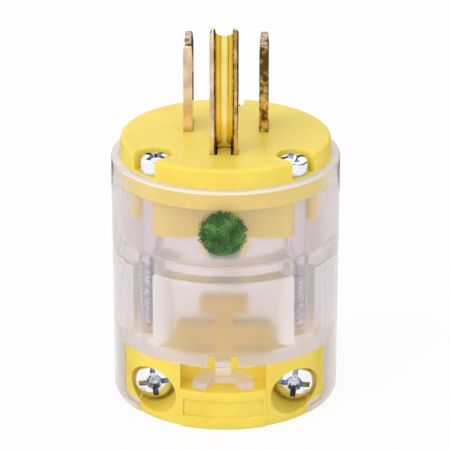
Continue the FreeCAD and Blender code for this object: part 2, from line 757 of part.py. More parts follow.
def add_keeper(body):
    """Spring keeper: a finger of the wall between two slots, a sloping stem and a bow-shaped foot."""
    finger = SIZE.keeper_width / 2
    slot_top = SIZE.window_height + SIZE.keeper_slot_height
    slots = []
    for side in (-1, 1):
        near = finger * side
        far = (finger + SIZE.keeper_slot_width) * side
        slots.append(rectangle(near, far, SIZE.window_height - PAST, slot_top))
    carve(body, "keeper_slots", "Y", -SHELL_RADIUS - PAST, -CORD_RADIUS, slots)
    stem_top = SIZE.window_height + SIZE.keeper_slot_height / 2
    stem_foot = SIZE.bow_low + SIZE.bow_thickness / 2
    stem_front = -CHAMBER_RADIUS - SIZE.keeper_stem_bite
    stem = outline([
        (stem_front, stem_top),
        (stem_front + SIZE.keeper_stem_thickness, stem_top),
        (-SIZE.bow_rear, stem_foot),
        (-SIZE.bow_rear - SIZE.keeper_stem_thickness, stem_foot),
    ])
    extrude(body, "keeper_stem", "X", -finger, finger, [stem])
    half = SIZE.bow_width / 2
    right = [
        (SIZE.bow_rear_width / 2, -SIZE.bow_rear),
        (half, -SIZE.bow_side_rear),
        (half, -SIZE.bow_side_front),
        (SIZE.bow_foot_spacing / 2, -SIZE.bow_foot_front),
        (SIZE.bow_waist_width / 2, -SIZE.bow_waist_front),
    ]
    corners = right + [(-x, y) for x, y in reversed(right)]
    extrude(body, "keeper_bow", "Z", SIZE.bow_low, SIZE.bow_low + SIZE.bow_thickness, [outline(corners)])


def curved_band(inner, outer, left, right):
    """Strip of a ring about the axis on the front side, between two places across."""
    corners = [
        (left, -leg(inner, left)),
        (right, -leg(inner, right)),
        (right, -leg(outer, right)),
        (left, -leg(outer, left)),
    ]
    return outline(corners, {0: ((ZERO, ZERO), "left"), 2: ((ZERO, ZERO), "right")})


def build_cord_clamp():
    body = new_body("cord_clamp")
    gap = SIZE.clamp_gap
    wide = SIZE.window_width / 2 - gap
    corner = SIZE.clamp_corner_depth
    side_radius = hypotenuse_of(wide, corner)
    front = side_radius + SIZE.clamp_panel_proud
    slab = outline(
        [(-wide, -JAW_HALF_GAP), (-wide, -corner), (wide, -corner), (wide, -JAW_HALF_GAP)],
        {1: ((ZERO, ZERO), "left")},
    )
    extrude(body, "clamp_slab", "Z", ZERO, CLAMP_HEIGHT, [slab])
    panel_half = SIZE.clamp_panel_width / 2
    root = side_radius - SIZE.clamp_panel_proud
    panel = curved_band(root, front, -panel_half, panel_half)
    extrude(body, "clamp_panel", "Z", ZERO, SIZE.clamp_pocket_low, [panel])
    toe = SIZE.toe_window_width / 2 - gap
    toe_top = SIZE.toe_height + gap
    outside = wide + PAST
    bend_x = wide + gap - SIZE.toe_round
    bend_z = SIZE.toe_height + SIZE.toe_round
    toes = []
    for side, turn in ((-1, "left"), (1, "right")):
        corners = [
            (toe, -PAST),
            (outside, -PAST),
            (outside, bend_z),
            (wide, bend_z),
            (bend_x, toe_top),
            (toe, toe_top),
        ]
        bend = {3: ((bend_x * side, bend_z), turn)}
        toes.append(outline([(x * side, z) for x, z in corners], bend))
    carve(body, "clamp_toes", "Y", -front - PAST, ZERO, toes)
    carve_cord_bore(body, "clamp", CLAMP_HEIGHT + PAST)
    pocket = centred(SIZE.clamp_panel_width, -front - PAST, -SIZE.clamp_pocket_back)
    carve(body, "keeper_pocket", "Z", SIZE.clamp_pocket_low, CLAMP_HEIGHT + PAST, [pocket])
    plate_half = SIZE.plate_width / 2
    plate = curved_band(front - SIZE.plate_depth, front + PAST, -plate_half, plate_half)
    carve(body, "bare_plate", "Z", SIZE.plate_low, SIZE.plate_high, [plate])
    tongue_rear = SIZE.tongue_thickness - SIZE.clamp_pocket_back
    post = SIZE.tongue_width / 2
    bar = SIZE.tongue_bar_width / 2
    cap = SIZE.tongue_top_width / 2
    bar_high = SIZE.tongue_bar_low + SIZE.tongue_bar_height
    cap_high = LEDGE_FOOT - SIZE.tongue_top_gap
    cap_low = cap_high - SIZE.tongue_top_height
    tongue = [
        (post, SIZE.clamp_pocket_low),
        (post, SIZE.tongue_bar_low),
        (bar, SIZE.tongue_bar_low),
        (bar, bar_high),
        (post, bar_high),
        (post, cap_low),
        (cap, cap_low),
        (cap, cap_high),
    ]
    tongue_corners = tongue + [(-x, z) for x, z in reversed(tongue)]
    extrude(body, "tongue", "Y", -SIZE.clamp_pocket_back, tongue_rear, [outline(tongue_corners)])
    places = [CLAMP_SCREW_X * side for side in (-1, 1)]
    shank = CLAMP_SCREW_RADIUS + SIZE.clamp_screw_clearance
    holes = [circle(x, SIZE.clamp_screw_height, shank) for x in places]
    carve(body, "clamp_holes", "Y", -front, PAST, holes)
    pockets = [circle(x, SIZE.clamp_screw_height, SIZE.clamp_head_pocket / 2) for x in places]
    carve(body, "head_pockets", "Y", -front - PAST, -SIZE.clamp_screw_seat, pockets)
    return body


def build_clamp_screws():
    """Two pan-head screws that draw the cord clamp towards the housing."""
    body = new_body("clamp_screws")
    seat = -SIZE.clamp_screw_seat
    top = seat - SIZE.clamp_head_height
    places = [(CLAMP_SCREW_X * side, SIZE.clamp_screw_height) for side in (-1, 1)]
    heads = [circle(x, z, SIZE.clamp_head_diameter / 2) for x, z in places]
    extrude(body, "clamp_screw_heads", "Y", top, seat, heads)
    shanks = [circle(x, z, CLAMP_SCREW_RADIUS) for x, z in places]
    extrude(body, "clamp_screw_shanks", "Y", seat, SIZE.clamp_screw_reach, shanks)

    def on_top(edge):
        return abs(edge.BoundBox.YMax - top.value) < 1e-4

    soften(body, "clamp_screw_crown", SIZE.screw_head_round, on_top)
    recesses = [cross(x, z, SIZE.clamp_recess_length, SIZE.clamp_recess_width) for x, z in places]
    carve(body, "clamp_screw_recess", "Y", top - PAST, top + SIZE.clamp_recess_depth, recesses)
    return body


def build_assembly_screws():
    """Three long screws that hold the face body in the housing."""
    body = new_body("assembly_screws")
    places = screw_places()
    heads = [circle(x, y, SIZE.screw_head_diameter / 2) for x, y in places]
    extrude(body, "screw_heads", "Z", SCREW_SEAT, SCREW_TOP, heads)
    shanks = [circle(x, y, SCREW_RADIUS) for x, y in places]
    extrude(body, "screw_shanks", "Z", SCREW_TIP, SCREW_SEAT, shanks)
    soften(body, "screw_crown", SIZE.screw_head_round, is_ring(SIZE.screw_head_diameter / 2, SCREW_TOP))
    recesses = [cross(x, y, SIZE.recess_length, SIZE.recess_width) for x, y in places]
    carve(body, "screw_recess", "Z", SCREW_TOP - SIZE.recess_depth, SCREW_TOP + PAST, recesses)
    return body


def build_all():
    line_seat = -BLADE_X - SIZE.blade_thickness / 2
    bodies = [build_shell(), build_face_body(), build_cord_clamp()]
    bodies += [build_blade("line_blade", -1), build_blade("neutral_blade", 1), build_ground_pin()]
    bodies += [build_retainer(), build_retainer_screw()]
    bodies += build_terminal("line", "X", -1, line_seat, SIZE.blade_line)
    bodies += build_terminal("neutral", "X", 1, -line_seat, SIZE.blade_line)
    bodies += build_terminal("ground", "Y", -1, PIN_WEB_FRONT, ZERO)
    bodies += [build_assembly_screws(), build_clamp_screws()]
    return bodies


def check(bodies):
    """Stop if any object failed to compute or any sub-part is not a sound solid."""
    failed = [item.Name for item in doc.Objects if {"Invalid", "Error"} & set(item.State)]
    if failed:
        raise RuntimeError(f"objects that failed: {failed}")
    for body in bodies:
        if body.Shape.isNull() or not body.Shape.isValid():
            raise RuntimeError(f"{body.Label} is not a valid shape")


fill_sheet()
sub_parts = build_all()
doc.recompute()
check(sub_parts)
os.makedirs("parts", exist_ok=True)
for sub_part in sub_parts:
    sub_part.Shape.exportStep(f"parts/{sub_part.Label}.step")
    box = sub_part.Shape.BoundBox
    print(sub_part.Label, len(sub_part.Shape.Solids), round(sub_part.Shape.Volume, 1), box)
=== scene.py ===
"""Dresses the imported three-pin mains plug: finer meshes, finishes, studio light and camera."""
import logging
import math
from dataclasses import dataclass
from enum import Enum
from typing import Callable, Sequence, Union

import bmesh
import bpy
from mathutils import Matrix, Vector


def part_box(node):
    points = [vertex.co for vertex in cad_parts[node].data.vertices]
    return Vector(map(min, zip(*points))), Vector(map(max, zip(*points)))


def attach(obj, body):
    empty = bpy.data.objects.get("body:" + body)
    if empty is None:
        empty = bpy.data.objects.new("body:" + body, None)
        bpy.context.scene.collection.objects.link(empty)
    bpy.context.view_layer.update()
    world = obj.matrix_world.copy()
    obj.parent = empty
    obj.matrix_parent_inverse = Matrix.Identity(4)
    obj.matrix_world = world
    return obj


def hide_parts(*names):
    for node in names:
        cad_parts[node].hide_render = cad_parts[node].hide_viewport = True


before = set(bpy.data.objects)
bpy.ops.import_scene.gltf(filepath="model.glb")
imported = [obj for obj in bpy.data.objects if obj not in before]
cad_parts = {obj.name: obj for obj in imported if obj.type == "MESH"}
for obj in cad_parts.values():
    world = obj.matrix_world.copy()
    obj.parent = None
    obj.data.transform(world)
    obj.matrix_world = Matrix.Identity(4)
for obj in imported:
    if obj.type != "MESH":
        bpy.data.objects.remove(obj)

log = logging.getLogger("plug")

Point = tuple[float, float]
Span = tuple[float, float]
Place = tuple[float, float, float]
Colour = tuple[float, float, float]
Edge = bmesh.types.BMEdge
Face = bpy.types.MeshPolygon
Materials = Sequence[bpy.types.Material]
Socket = bpy.types.NodeSocket
Term = Union[Socket, float, tuple[float, ...]]

# shapes are worked out in millimetres and stored in metres
MM = 0.001
ROOT_BODY = "root"
# left and right
SIDES = (-1, 1)
# corners nearer to each other than this are one corner
WELD = 1e-5
# edges shorter than this are taken out before a bevel
SLIVER = 0.004
# a hair's breadth, by which a cutter just clears a surface or a place is told from the next
HAIR = 0.01
# how far other cutters reach past a surface, usually and where there is room
PAST = 1.0
WELL_PAST = 2.0
# how far a face may lie off a height or a radius and still count as being there
NEAR = 0.05
# facets round the housing and the face, round the cord bore and round a screw hole
LARGE_STEPS = 224
BORE_STEPS = 128
HOLE_STEPS = 48
# share of an edge that has to run upwards, and of a normal that has to point to the front
UPRIGHT_SHARE = 0.98
FRONT_SHARE = 0.6
# range that a noise mostly keeps to
NOISE_RANGE: Span = (0.3, 0.7)


class Axis(Enum):
    """Direction along which an outline is extruded."""

    X = "X"
    Y = "Y"
    Z = "Z"

    def place(self, across: float, up: float, along: float) -> Vector:
        """Put a point of an outline into space.

        Args:
            across: its first coordinate.
            up: its second coordinate.
            along: its place on this axis.

        Returns:
            The point in space.
        """
        if self is Axis.X:
            return Vector((along, across, up))
        if self is Axis.Y:
            return Vector((across, along, up))
        return Vector((across, up, along))

    def step(self, distance: float) -> Vector:
        """Vector of a length along this axis."""
        return Vector([distance if name == self.value else 0.0 for name in "XYZ"])


class Merge(Enum):
    """How a solid is combined with another."""

    CUT = "DIFFERENCE"
    JOIN = "UNION"
    KEEP = "INTERSECT"


def arc(centre: Point, radius: float, start: float, stop: float, steps: int) -> list[Point]:
    """Points along a circular arc.

    Args:
        centre: centre of the arc.
        radius: its radius.
        start: angle of the first point, in degrees.
        stop: angle of the last point, in degrees.
        steps: number of chords.

    Returns:
        The points in order, both ends included.
    """
    angles = [math.radians(start + (stop - start) * i / steps) for i in range(steps + 1)]
    return [(centre[0] + radius * math.cos(a), centre[1] + radius * math.sin(a)) for a in angles]


def mirrored(right: Sequence[Point]) -> list[Point]:
    """Close an outline whose right half is given by adding its mirror image."""
    return list(right) + [(-x, y) for x, y in reversed(right)]


def oblong(left: float, low: float, right: float, high: float) -> list[Point]:
    """Corners of a rectangle."""
    return [(left, low), (right, low), (right, high), (left, high)]


def is_upright(edge: Edge) -> bool:
    """Tell whether an edge runs straight up."""
    run = edge.verts[1].co - edge.verts[0].co
    return abs(run.z) > UPRIGHT_SHARE * run.length


def faces_front(face: Face) -> bool:
    """Tell whether a face looks straight to the front."""
    return face.normal.y < -FRONT_SHARE


def linked_object(name: str, data: bpy.types.ID) -> bpy.types.Object:
    """Make an object of the scene from its data.

    Args:
        name: name of the object.
        data: its mesh, light or camera.

    Returns:
        The object.
    """
    made = bpy.data.objects.new(name, data)
    bpy.context.scene.collection.objects.link(made)
    return made


def linked_mesh(name: str, bm: bmesh.types.BMesh) -> bpy.types.Object:
    """Store a bmesh as an object of the scene and free it.

    Args:
        name: name of the object and of its mesh.
        bm: the bmesh, which is used up.

    Returns:
        The object.
    """
    mesh = bpy.data.meshes.new(name)
    bm.to_mesh(mesh)
    bm.free()
    return linked_object(name, mesh)


class Solid:
    """A closed mesh that is built up in millimetres and ends as a piece in metres."""

    def __init__(self, name: str, bm: bmesh.types.BMesh) -> None:
        """Weld a bmesh, turn its faces outwards and store it.

        Args:
            name: name of the object.
            bm: the bmesh, which is used up.
        """
        bmesh.ops.remove_doubles(bm, verts=bm.verts, dist=WELD)
        bmesh.ops.recalc_face_normals(bm, faces=bm.faces)
        self.object = linked_mesh(name, bm)

    @classmethod
    def lathe(cls, name: str, section: Sequence[Point], steps: int) -> "Solid":
        """Spin a closed half section about the upright axis.

        Args:
            name: name of the object.
            section: radius and height of each corner.
            steps: number of facets round the axis.

        Returns:
            The turned solid.
        """
        bm = bmesh.new()
        corners = [bm.verts.new((radius, 0.0, height)) for radius, height in section]
        edges = [bm.edges.new((a, b)) for a, b in zip(corners, corners[1:] + corners[:1])]
        bmesh.ops.spin(
            bm, geom=corners + edges, cent=(0, 0, 0), axis=(0, 0, 1), dvec=(0, 0, 0),
            angle=math.tau, steps=steps, use_merge=True, use_duplicate=False,
        )
        return cls(name, bm)

    @classmethod
    def prism(cls, name: str, outline: Sequence[Point], axis: Axis, low: float, high: float) -> "Solid":
        """Extrude a closed outline along an axis.

        Args:
            name: name of the object.
            outline: corners, as the two coordinates other than the axis.
            axis: direction of the extrusion.
            low: where it starts on the axis.
            high: where it ends on the axis.

        Returns:
            The extruded solid.
        """
        bm = bmesh.new()
        face = bm.faces.new([bm.verts.new(axis.place(a, b, low)) for a, b in outline])
        grown = bmesh.ops.extrude_face_region(bm, geom=[face])
        lifted = [item for item in grown["geom"] if isinstance(item, bmesh.types.BMVert)]
        bmesh.ops.translate(bm, verts=lifted, vec=axis.step(high - low))
        return cls(name, bm)

    @classmethod
    def rod(cls, name: str, centre: Point, radius: float, axis: Axis, low: float, high: float,
            steps: int = HOLE_STEPS) -> "Solid":
        """Round bar along an axis, given by the place of its centre and its two ends."""
        ring = arc(centre, radius, 0.0, 360.0, steps)[:-1]
        return cls.prism(name, ring, axis, low, high)

    def discard(self) -> None:
        """Remove the object and its mesh."""
        spent = self.object.data
        bpy.data.objects.remove(self.object)
        bpy.data.meshes.remove(spent)

    def _apply(self) -> None:
        """Bake the modifiers into the mesh."""
        shown = self.object.evaluated_get(bpy.context.evaluated_depsgraph_get())
        mesh = bpy.data.meshes.new_from_object(shown)
        self.object.modifiers.clear()
        old = self.object.data
        self.object.data = mesh
        bpy.data.meshes.remove(old)

    def merge(self, how: Merge, *others: "Solid") -> "Solid":
        """Combine with other solids, which are used up.

        Args:
            how: whether the others are cut away, joined on or kept in common.
            others: the solids to combine with.

        Returns:
            This solid.
        """
        for other in others:
            modifier = self.object.modifiers.new(how.name.lower(), "BOOLEAN")
            modifier.operation = how.value
            modifier.solver = "EXACT"
            modifier.object = other.object
            self._apply()
            other.discard()
        return self

    def cut(self, *others: "Solid") -> "Solid":
        """Cut other solids away."""
        return self.merge(Merge.CUT, *others)

    def join(self, *others: "Solid") -> "Solid":
        """Join other solids on."""
        return self.merge(Merge.JOIN, *others)

    def soften(self, width: float, segments: int = 2, angle: float = 40.0,
               wanted: Callable[[Edge], bool] = lambda edge: True) -> "Solid":
        """Bevel the sharp edges.

        Args:
            width: how far the bevel reaches on each face.
            segments: facets across the bevel.
            angle: edges whose faces turn by more than this many degrees are bevelled.
            wanted: further test that an edge has to pass.

        Returns:
            This solid.
        """
        bm = bmesh.new()
        bm.from_mesh(self.object.data)
        bmesh.ops.remove_doubles(bm, verts=bm.verts, dist=SLIVER)
        bmesh.ops.dissolve_degenerate(bm, edges=bm.edges, dist=SLIVER)
        sharp = math.radians(angle)
        edges = [e for e in bm.edges if e.is_manifold and e.calc_face_angle(0.0) > sharp and wanted(e)]
        bmesh.ops.bevel(
            bm, geom=edges, offset=width, offset_type="OFFSET", affect="EDGES", segments=segments,
            profile=0.5, material=-1, clamp_overlap=True,
        )
        bm.to_mesh(self.object.data)
        bm.free()
        return self

    def paint(self, part_of: Callable[[Face], Enum]) -> "Solid":
        """Give every face the material of its part.

        Args:
            part_of: tells the part of a face, whose value is the index of its material.

        Returns:
            This solid.
        """
        for face in self.object.data.polygons:
            face.material_index = part_of(face).value
        return self

    def finish(self, materials: Materials, slot: str, *nodes: str,
               smooth_angle: float = 32.0) -> bpy.types.Object:
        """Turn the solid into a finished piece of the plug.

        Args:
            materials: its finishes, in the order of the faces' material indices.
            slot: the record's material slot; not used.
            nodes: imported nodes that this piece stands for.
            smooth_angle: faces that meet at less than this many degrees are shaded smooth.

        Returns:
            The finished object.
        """
        mesh = self.object.data
        mesh.transform(Matrix.Scale(MM, 4))
        painted = [face.material_index for face in mesh.polygons]
        mesh.materials.clear()
        for material in materials:
            mesh.materials.append(material)
        if len(materials) > 1:
            mesh.polygons.foreach_set("material_index", painted)
        mesh.shade_smooth()
        mesh.set_sharp_from_angle(angle=math.radians(smooth_angle))
        even = self.object.modifiers.new("even_shading", "WEIGHTED_NORMAL")
        even.keep_sharp = True
        self._apply()
        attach(self.object, ROOT_BODY)
        if nodes:
            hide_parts(*nodes)
        return self.object


@dataclass(frozen=True)
class Layout:
    """Sizes that several pieces share, in millimetres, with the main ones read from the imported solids."""

    rim_radius: float
    shell_height: float
    face_radius: float
    face_top: float
    blade_tip: float
    pin_tip: float
    shell_draft: float = 0.2
    chamber_radius: float = 17.05
    face_seat: float = 39.5
    ledge_top: float = 29.0
    ledge_foot: float = 26.5
    screw_circle: float = 15.0
    screw_angle: float = 49.0
    screw_radius: float = 1.59
    screw_seat: float = 43.3
    cord_radius: float = 7.0
    groove_depth: float = 0.8
    groove_width: float = 1.4
    groove_pitch: float = 3.4
    first_groove: float = 1.7
    grooves: int = 3
    jaw_half_gap: float = 1.5
    window_half: float = 16.9
    window_height: float = 11.85
    toe_half: float = 14.2
    toe_height: float = 1.85
    toe_round: float = 0.7
    toe_steps: int = 6
    clamp_screw_x: float = 11.85
    clamp_screw_z: float = 5.0
    clamp_screw_seat: float = -7.4
    blade_x: float = 6.35
    blade_y: float = 3.87
    pin_y: float = -8.03
    pin_radius: float = 2.35
    pin_wall: float = 0.9
    shoulder_top: float = 41.4
    retainer_top: float = 35.2
    tail_foot: float = 27.7
    terminal_z: float = 29.8
    terminal_radius: float = 1.62
    sheet_soft: float = 0.1
    tip_past: float = 0.5
    dot_height: float = 35.9
    dot_radius: float = 4.1

    @classmethod
    def from_frame(cls) -> "Layout":
        """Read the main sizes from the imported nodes.

        Returns:
            The layout.
        """
        def high(node: str) -> Vector:
            """Upper corner of a node's box."""
            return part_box(node)[1] / MM

        return cls(
            rim_radius=high("shell").x,
            shell_height=high("shell").z,
            face_radius=high("face_body").x,
            face_top=high("face_body").z,
            blade_tip=high("line_blade").z,
            pin_tip=high("ground_pin").z,
        )

    def wall_radius(self, height: float) -> float:
        """Outer radius of the slightly tapered housing at a height."""
        return self.rim_radius - self.shell_draft * (1.0 - height / self.shell_height)

    def polar(self, turn: float, radial: float, across: float) -> Point:
        """Point at a turn from the front.

        Args:
            turn: the turn about the axis, in degrees.
            radial: how far out from the axis it lies.
            across: how far it lies across.

        Returns:
            The point, seen from above.
        """
        angle = math.radians(turn)
        x = radial * math.sin(angle) + across * math.cos(angle)
        y = across * math.sin(angle) - radial * math.cos(angle)
        return x, y

    def screw_turns(self) -> tuple[float, float, float]:
        """Turns from the front at which the three assembly screws stand."""
        return self.screw_angle, -self.screw_angle, 180.0

    def screw_places(self) -> list[Point]:
        """Centres of the three assembly screws, seen from above."""
        return [self.polar(turn, self.screw_circle, 0.0) for turn in self.screw_turns()]

    def clamp_screw_place(self, side: int) -> Point:
        """Centre of the clamp screw on one side, seen from the front."""
        return self.clamp_screw_x * side, self.clamp_screw_z

    def toe_bend(self, radius: float) -> list[Point]:
        """Arc of the inner corner between a toe and the side of the window, seen from the front."""
        centre = (self.window_half - self.toe_round, self.toe_height + self.toe_round)
        return arc(centre, radius, -90.0, 0.0, self.toe_steps)

    def tail_edge(self, tail_half: float, shoulder_half: float) -> list[Point]:
        """Right edge of a contact's tail and shoulder.

        Args:
            tail_half: half the tail's width.
            shoulder_half: half the shoulder's width.

        Returns:
            Its corners, from the foot up.
        """
        tail = [(tail_half, self.tail_foot), (tail_half, self.retainer_top)]
        return tail + [(shoulder_half, self.retainer_top), (shoulder_half, self.shoulder_top)]

    def bore_cutters(self, height: float) -> list[Solid]:
        """Cutters of the cord bore and of its grip grooves.

        Args:
            height: height of the piece that is bored.

        Returns:
            The bore's cutter and a ring for each groove.
        """
        middle = (0.0, 0.0)
        top = height + PAST
        cutters = [Solid.rod("bore_cutter", middle, self.cord_radius, Axis.Z, -PAST, top, BORE_STEPS)]
        radius = self.cord_radius + self.groove_depth
        for number in range(self.grooves):
            low = self.first_groove + self.groove_pitch * number
            high = low + self.groove_width
            cutters.append(Solid.rod("groove_cutter", middle, radius, Axis.Z, low, high, BORE_STEPS))
        return cutters


class Graph:
    """A node tree and the small steps from which it is put together."""

    def __init__(self, tree: bpy.types.NodeTree) -> None:
        """Work on a tree."""
        self.tree = tree

    def feed(self, entry: Socket, term: Term) -> None:
        """Give an input its value.

        Args:
            entry: the input.
            term: the output to link to it, or a constant.
        """
        if isinstance(term, Socket):
            self.tree.links.new(term, entry)
        else:
            entry.default_value = term

    def add(self, kind: str, inputs: dict[Union[str, int], Term]) -> bpy.types.Node:
        """Add a node.

        Args:
            kind: type of the node.
            inputs: what its inputs are fed with.

        Returns:
            The node.
        """
        node = self.tree.nodes.new(kind)
        for label, term in inputs.items():
            self.feed(node.inputs[label], term)
        return node

    def place(self) -> Socket:
        """Place on the object, in metres."""
        return self.add("ShaderNodeTexCoord", {}).outputs["Object"]

    def calculate(self, operation: str, first: Term, second: Term) -> Socket:
        """Combine two values.

        Args:
            operation: what the maths node does.
            first: its first value.
            second: its second value.

        Returns:
            The output with the result.
        """
        node = self.add("ShaderNodeMath", {0: first, 1: second})
        node.operation = operation
        return node.outputs["Value"]

    def spread(self, source: Socket, target: Span, reach: Span = NOISE_RANGE) -> Socket:
        """Map a mask to a range of values.

        Args:
            source: the mask.
            target: values at the two ends.
            reach: values of the mask at the two ends.

        Returns:
            The output with the mapped values.
        """
        ends = {"From Min": reach[0], "From Max": reach[1], "To Min": target[0], "To Max": target[1]}
        return self.add("ShaderNodeMapRange", {"Value": source, **ends}).outputs["Result"]

    def ramp(self, source: Socket, stops: Sequence[float],
             colours: Sequence[Colour]) -> Socket:
        """Colours spread along a mask.

        Args:
            source: the mask.
            stops: value of the mask at each colour.
            colours: the colours.

        Returns:
            The colour output.
        """
        node = self.add("ShaderNodeValToRGB", {"Fac": source})
        elements = node.color_ramp.elements
        for position in stops[1:-1]:
            elements.new(position)
        for element, position, colour in zip(elements, stops, colours):
            element.position = position
            element.color = (*colour, 1.0)
        return node.outputs["Color"]

    def seen(self) -> Socket:
        """Rays that show the background: straight, mirrored or through clear plastic.

        Returns:
            Their mask.
        """
        path = self.add("ShaderNodeLightPath", {}).outputs
        shown = self.calculate("MAXIMUM", path["Is Camera Ray"], path["Is Glossy Ray"])
        return self.calculate("MAXIMUM", shown, path["Is Transmission Ray"])


class FinishGraph(Graph):
    """A new material with a Principled shader to feed."""

    def __init__(self, name: str) -> None:
        """Make the material.

        Args:
            name: its name.
        """
        self.material = bpy.data.materials.new(name)
        self.material.use_nodes = True
        super().__init__(self.material.node_tree)
        self.shader = self.tree.nodes["Principled BSDF"]

    def dress(self, inputs: dict[str, Term]) -> None:
        """Feed the shader's own inputs."""
        for label, term in inputs.items():
            self.feed(self.shader.inputs[label], term)

    def bump(self, height: Socket, strength: float, distance: float) -> None:
        """Feed a height to the shader's normal."""
        node = self.add("ShaderNodeBump", {"Strength": strength, "Distance": distance, "Height": height})
        self.dress({"Normal": node.outputs["Normal"]})

    def group(self, tree: bpy.types.ShaderNodeTree,
              scales: dict[str, float]) -> bpy.types.bpy_prop_collection:
        """Place a shared group with the material's own values.

        Args:
            tree: the group.
            scales: scale of each of its layers.

        Returns:
            The outputs of the placed group.
        """
        node = self.tree.nodes.new("ShaderNodeGroup")
        node.node_tree = tree
        for layer, scale in scales.items():
            node.inputs[f"{layer} Scale"].default_value = scale
        return node.outputs

    def mix(self, share: Socket, other: Socket) -> None:
        """Let another shader take over where a mask says so.

        Args:
            share: the mask.
            other: output of the other shader.
        """
        node = self.add("ShaderNodeMixShader", {"Fac": share, 1: self.shader.outputs["BSDF"], 2: other})
        self.feed(self.tree.nodes["Material Output"].inputs["Surface"], node.outputs["Shader"])


def noise_group(name: str, details: dict[str, float], product: str = "") -> bpy.types.ShaderNodeTree:
    """Make a shader group that puts out layers of noise.

    Args:
        name: name of the group.
        details: detail of each layer. Its scale is an input with the layer's name.
        product: name of a further output, in which the layers are multiplied.

    Returns:
        The group.
    """
    tree = bpy.data.node_groups.new(name, "ShaderNodeTree")
    sockets = [(f"{layer} Scale", "INPUT") for layer in details] + [(layer, "OUTPUT") for layer in details]
    if product:
        sockets.append((product, "OUTPUT"))
    for label, way in sockets:
        tree.interface.new_socket(name=label, in_out=way, socket_type="NodeSocketFloat")
    graph = Graph(tree)
    scales = graph.add("NodeGroupInput", {}).outputs
    place = graph.place()
    layers = {}
    for layer, detail in details.items():
        values = {"Vector": place, "Scale": scales[f"{layer} Scale"], "Detail": detail}
        layers[layer] = graph.add("ShaderNodeTexNoise", values).outputs["Fac"]
    if product:
        layers[product] = graph.calculate("MULTIPLY", *layers.values())
    graph.add("NodeGroupOutput", layers)
    return tree


class Workshop:
    """Makes each finish's material once, with the shared node groups."""

    def __init__(self) -> None:
        """Build the groups: drift, skin and gloss mottle of moulded plastic, patches and pits of metal; the
        patches are tarnished on some finishes and painted shade and reflection on others.
        """
        self.grain = noise_group("moulded_grain", {"Drift": 2.0, "Skin": 3.0}, "Mottle")
        self.marks = noise_group("metal_marks", {"Tarnish_and_shade": 4.0, "Pits": 2.0})
        self.made: dict[str, bpy.types.Material] = {}

    def materials(self, *finishes: "Finish") -> list[bpy.types.Material]:
        """Look up or make the materials of some finishes.

        Args:
            finishes: the finishes.

        Returns:
            Their materials, in the same order.
        """
        for finish in finishes:
            if finish.name not in self.made:
                self.made[finish.name] = finish.make(self)
        return [self.made[finish.name] for finish in finishes]


@dataclass(frozen=True)
class Finish:
    """Base of the finishes, whose lengths are in metres."""

    name: str

    def make(self, shop: Workshop) -> bpy.types.Material:
        """Build the material."""
        raise NotImplementedError


@dataclass(frozen=True)
class MouldedFinish(Finish):
    """Base of the plastics: a slow drift of colour, uneven gloss and a fine skin."""

    dark: Colour
    light: Colour
    roughness: Span = (0.36, 0.48)
    ior: float = 1.5
    drift_scale: float = 140.0
    skin_scale: float = 2600.0
    skin_strength: float = 0.10
    skin_depth: float = 0.00006
    mottle_range: Span = (0.15, 0.4)

    def mould(self, shop: Workshop) -> FinishGraph:
        """Start the material.

        Args:
            shop: the shared groups.

        Returns:
            Its graph, with colour, gloss and skin in place.
        """
        graph = FinishGraph(self.name)
        grain = graph.group(shop.grain, {"Drift": self.drift_scale, "Skin": self.skin_scale})
        graph.dress({
            "Base Color": graph.ramp(grain["Drift"], NOISE_RANGE, (self.dark, self.light)),
            "Roughness": graph.spread(grain["Mottle"], self.roughness, self.mottle_range),
            "IOR": self.ior,
        })
        graph.bump(grain["Skin"], self.skin_strength, self.skin_depth)
        return graph


@dataclass(frozen=True)
class NylonFinish(MouldedFinish):
    """Satin moulded nylon, into which light sinks a little."""

    sink: float = 0.4
    sink_radius: Colour = (1.0, 0.7, 0.15)
    sink_scale: float = 0.0015

    def make(self, shop: Workshop) -> bpy.types.Material:
        """Build the material.

        Args:
            shop: the shared groups.

        Returns:
            The material.
        """
        graph = self.mould(shop)
        graph.dress({
            "Subsurface Weight": self.sink,
            "Subsurface Radius": self.sink_radius,
            "Subsurface Scale": self.sink_scale,
        })
        return graph.material


@dataclass(frozen=True)
class ClearFinish(MouldedFinish):
    """Clear polycarbonate, faintly pink, through which lamp light and bounced light pass to the inside."""

    ior: float = 1.46
    drift_scale: float = 60.0
    skin_scale: float = 1800.0
    skin_strength: float = 0.05
    skin_depth: float = 0.00004
    clearness: float = 0.9
    passing: float = 0.97

    def make(self, shop: Workshop) -> bpy.types.Material:
        """Build the material.

        Args:
            shop: the shared groups.

        Returns:
            The material.
        """
        graph = self.mould(shop)
        graph.dress({"Transmission Weight": self.clearness})
        path = graph.add("ShaderNodeLightPath", {}).outputs
        lighting = graph.calculate("MAXIMUM", path["Is Shadow Ray"], path["Is Diffuse Ray"])
        tint = (self.passing, self.passing, self.passing, 1.0)
        graph.mix(lighting, graph.add("ShaderNodeBsdfTransparent", {"Color": tint}).outputs["BSDF"])
        return graph.material


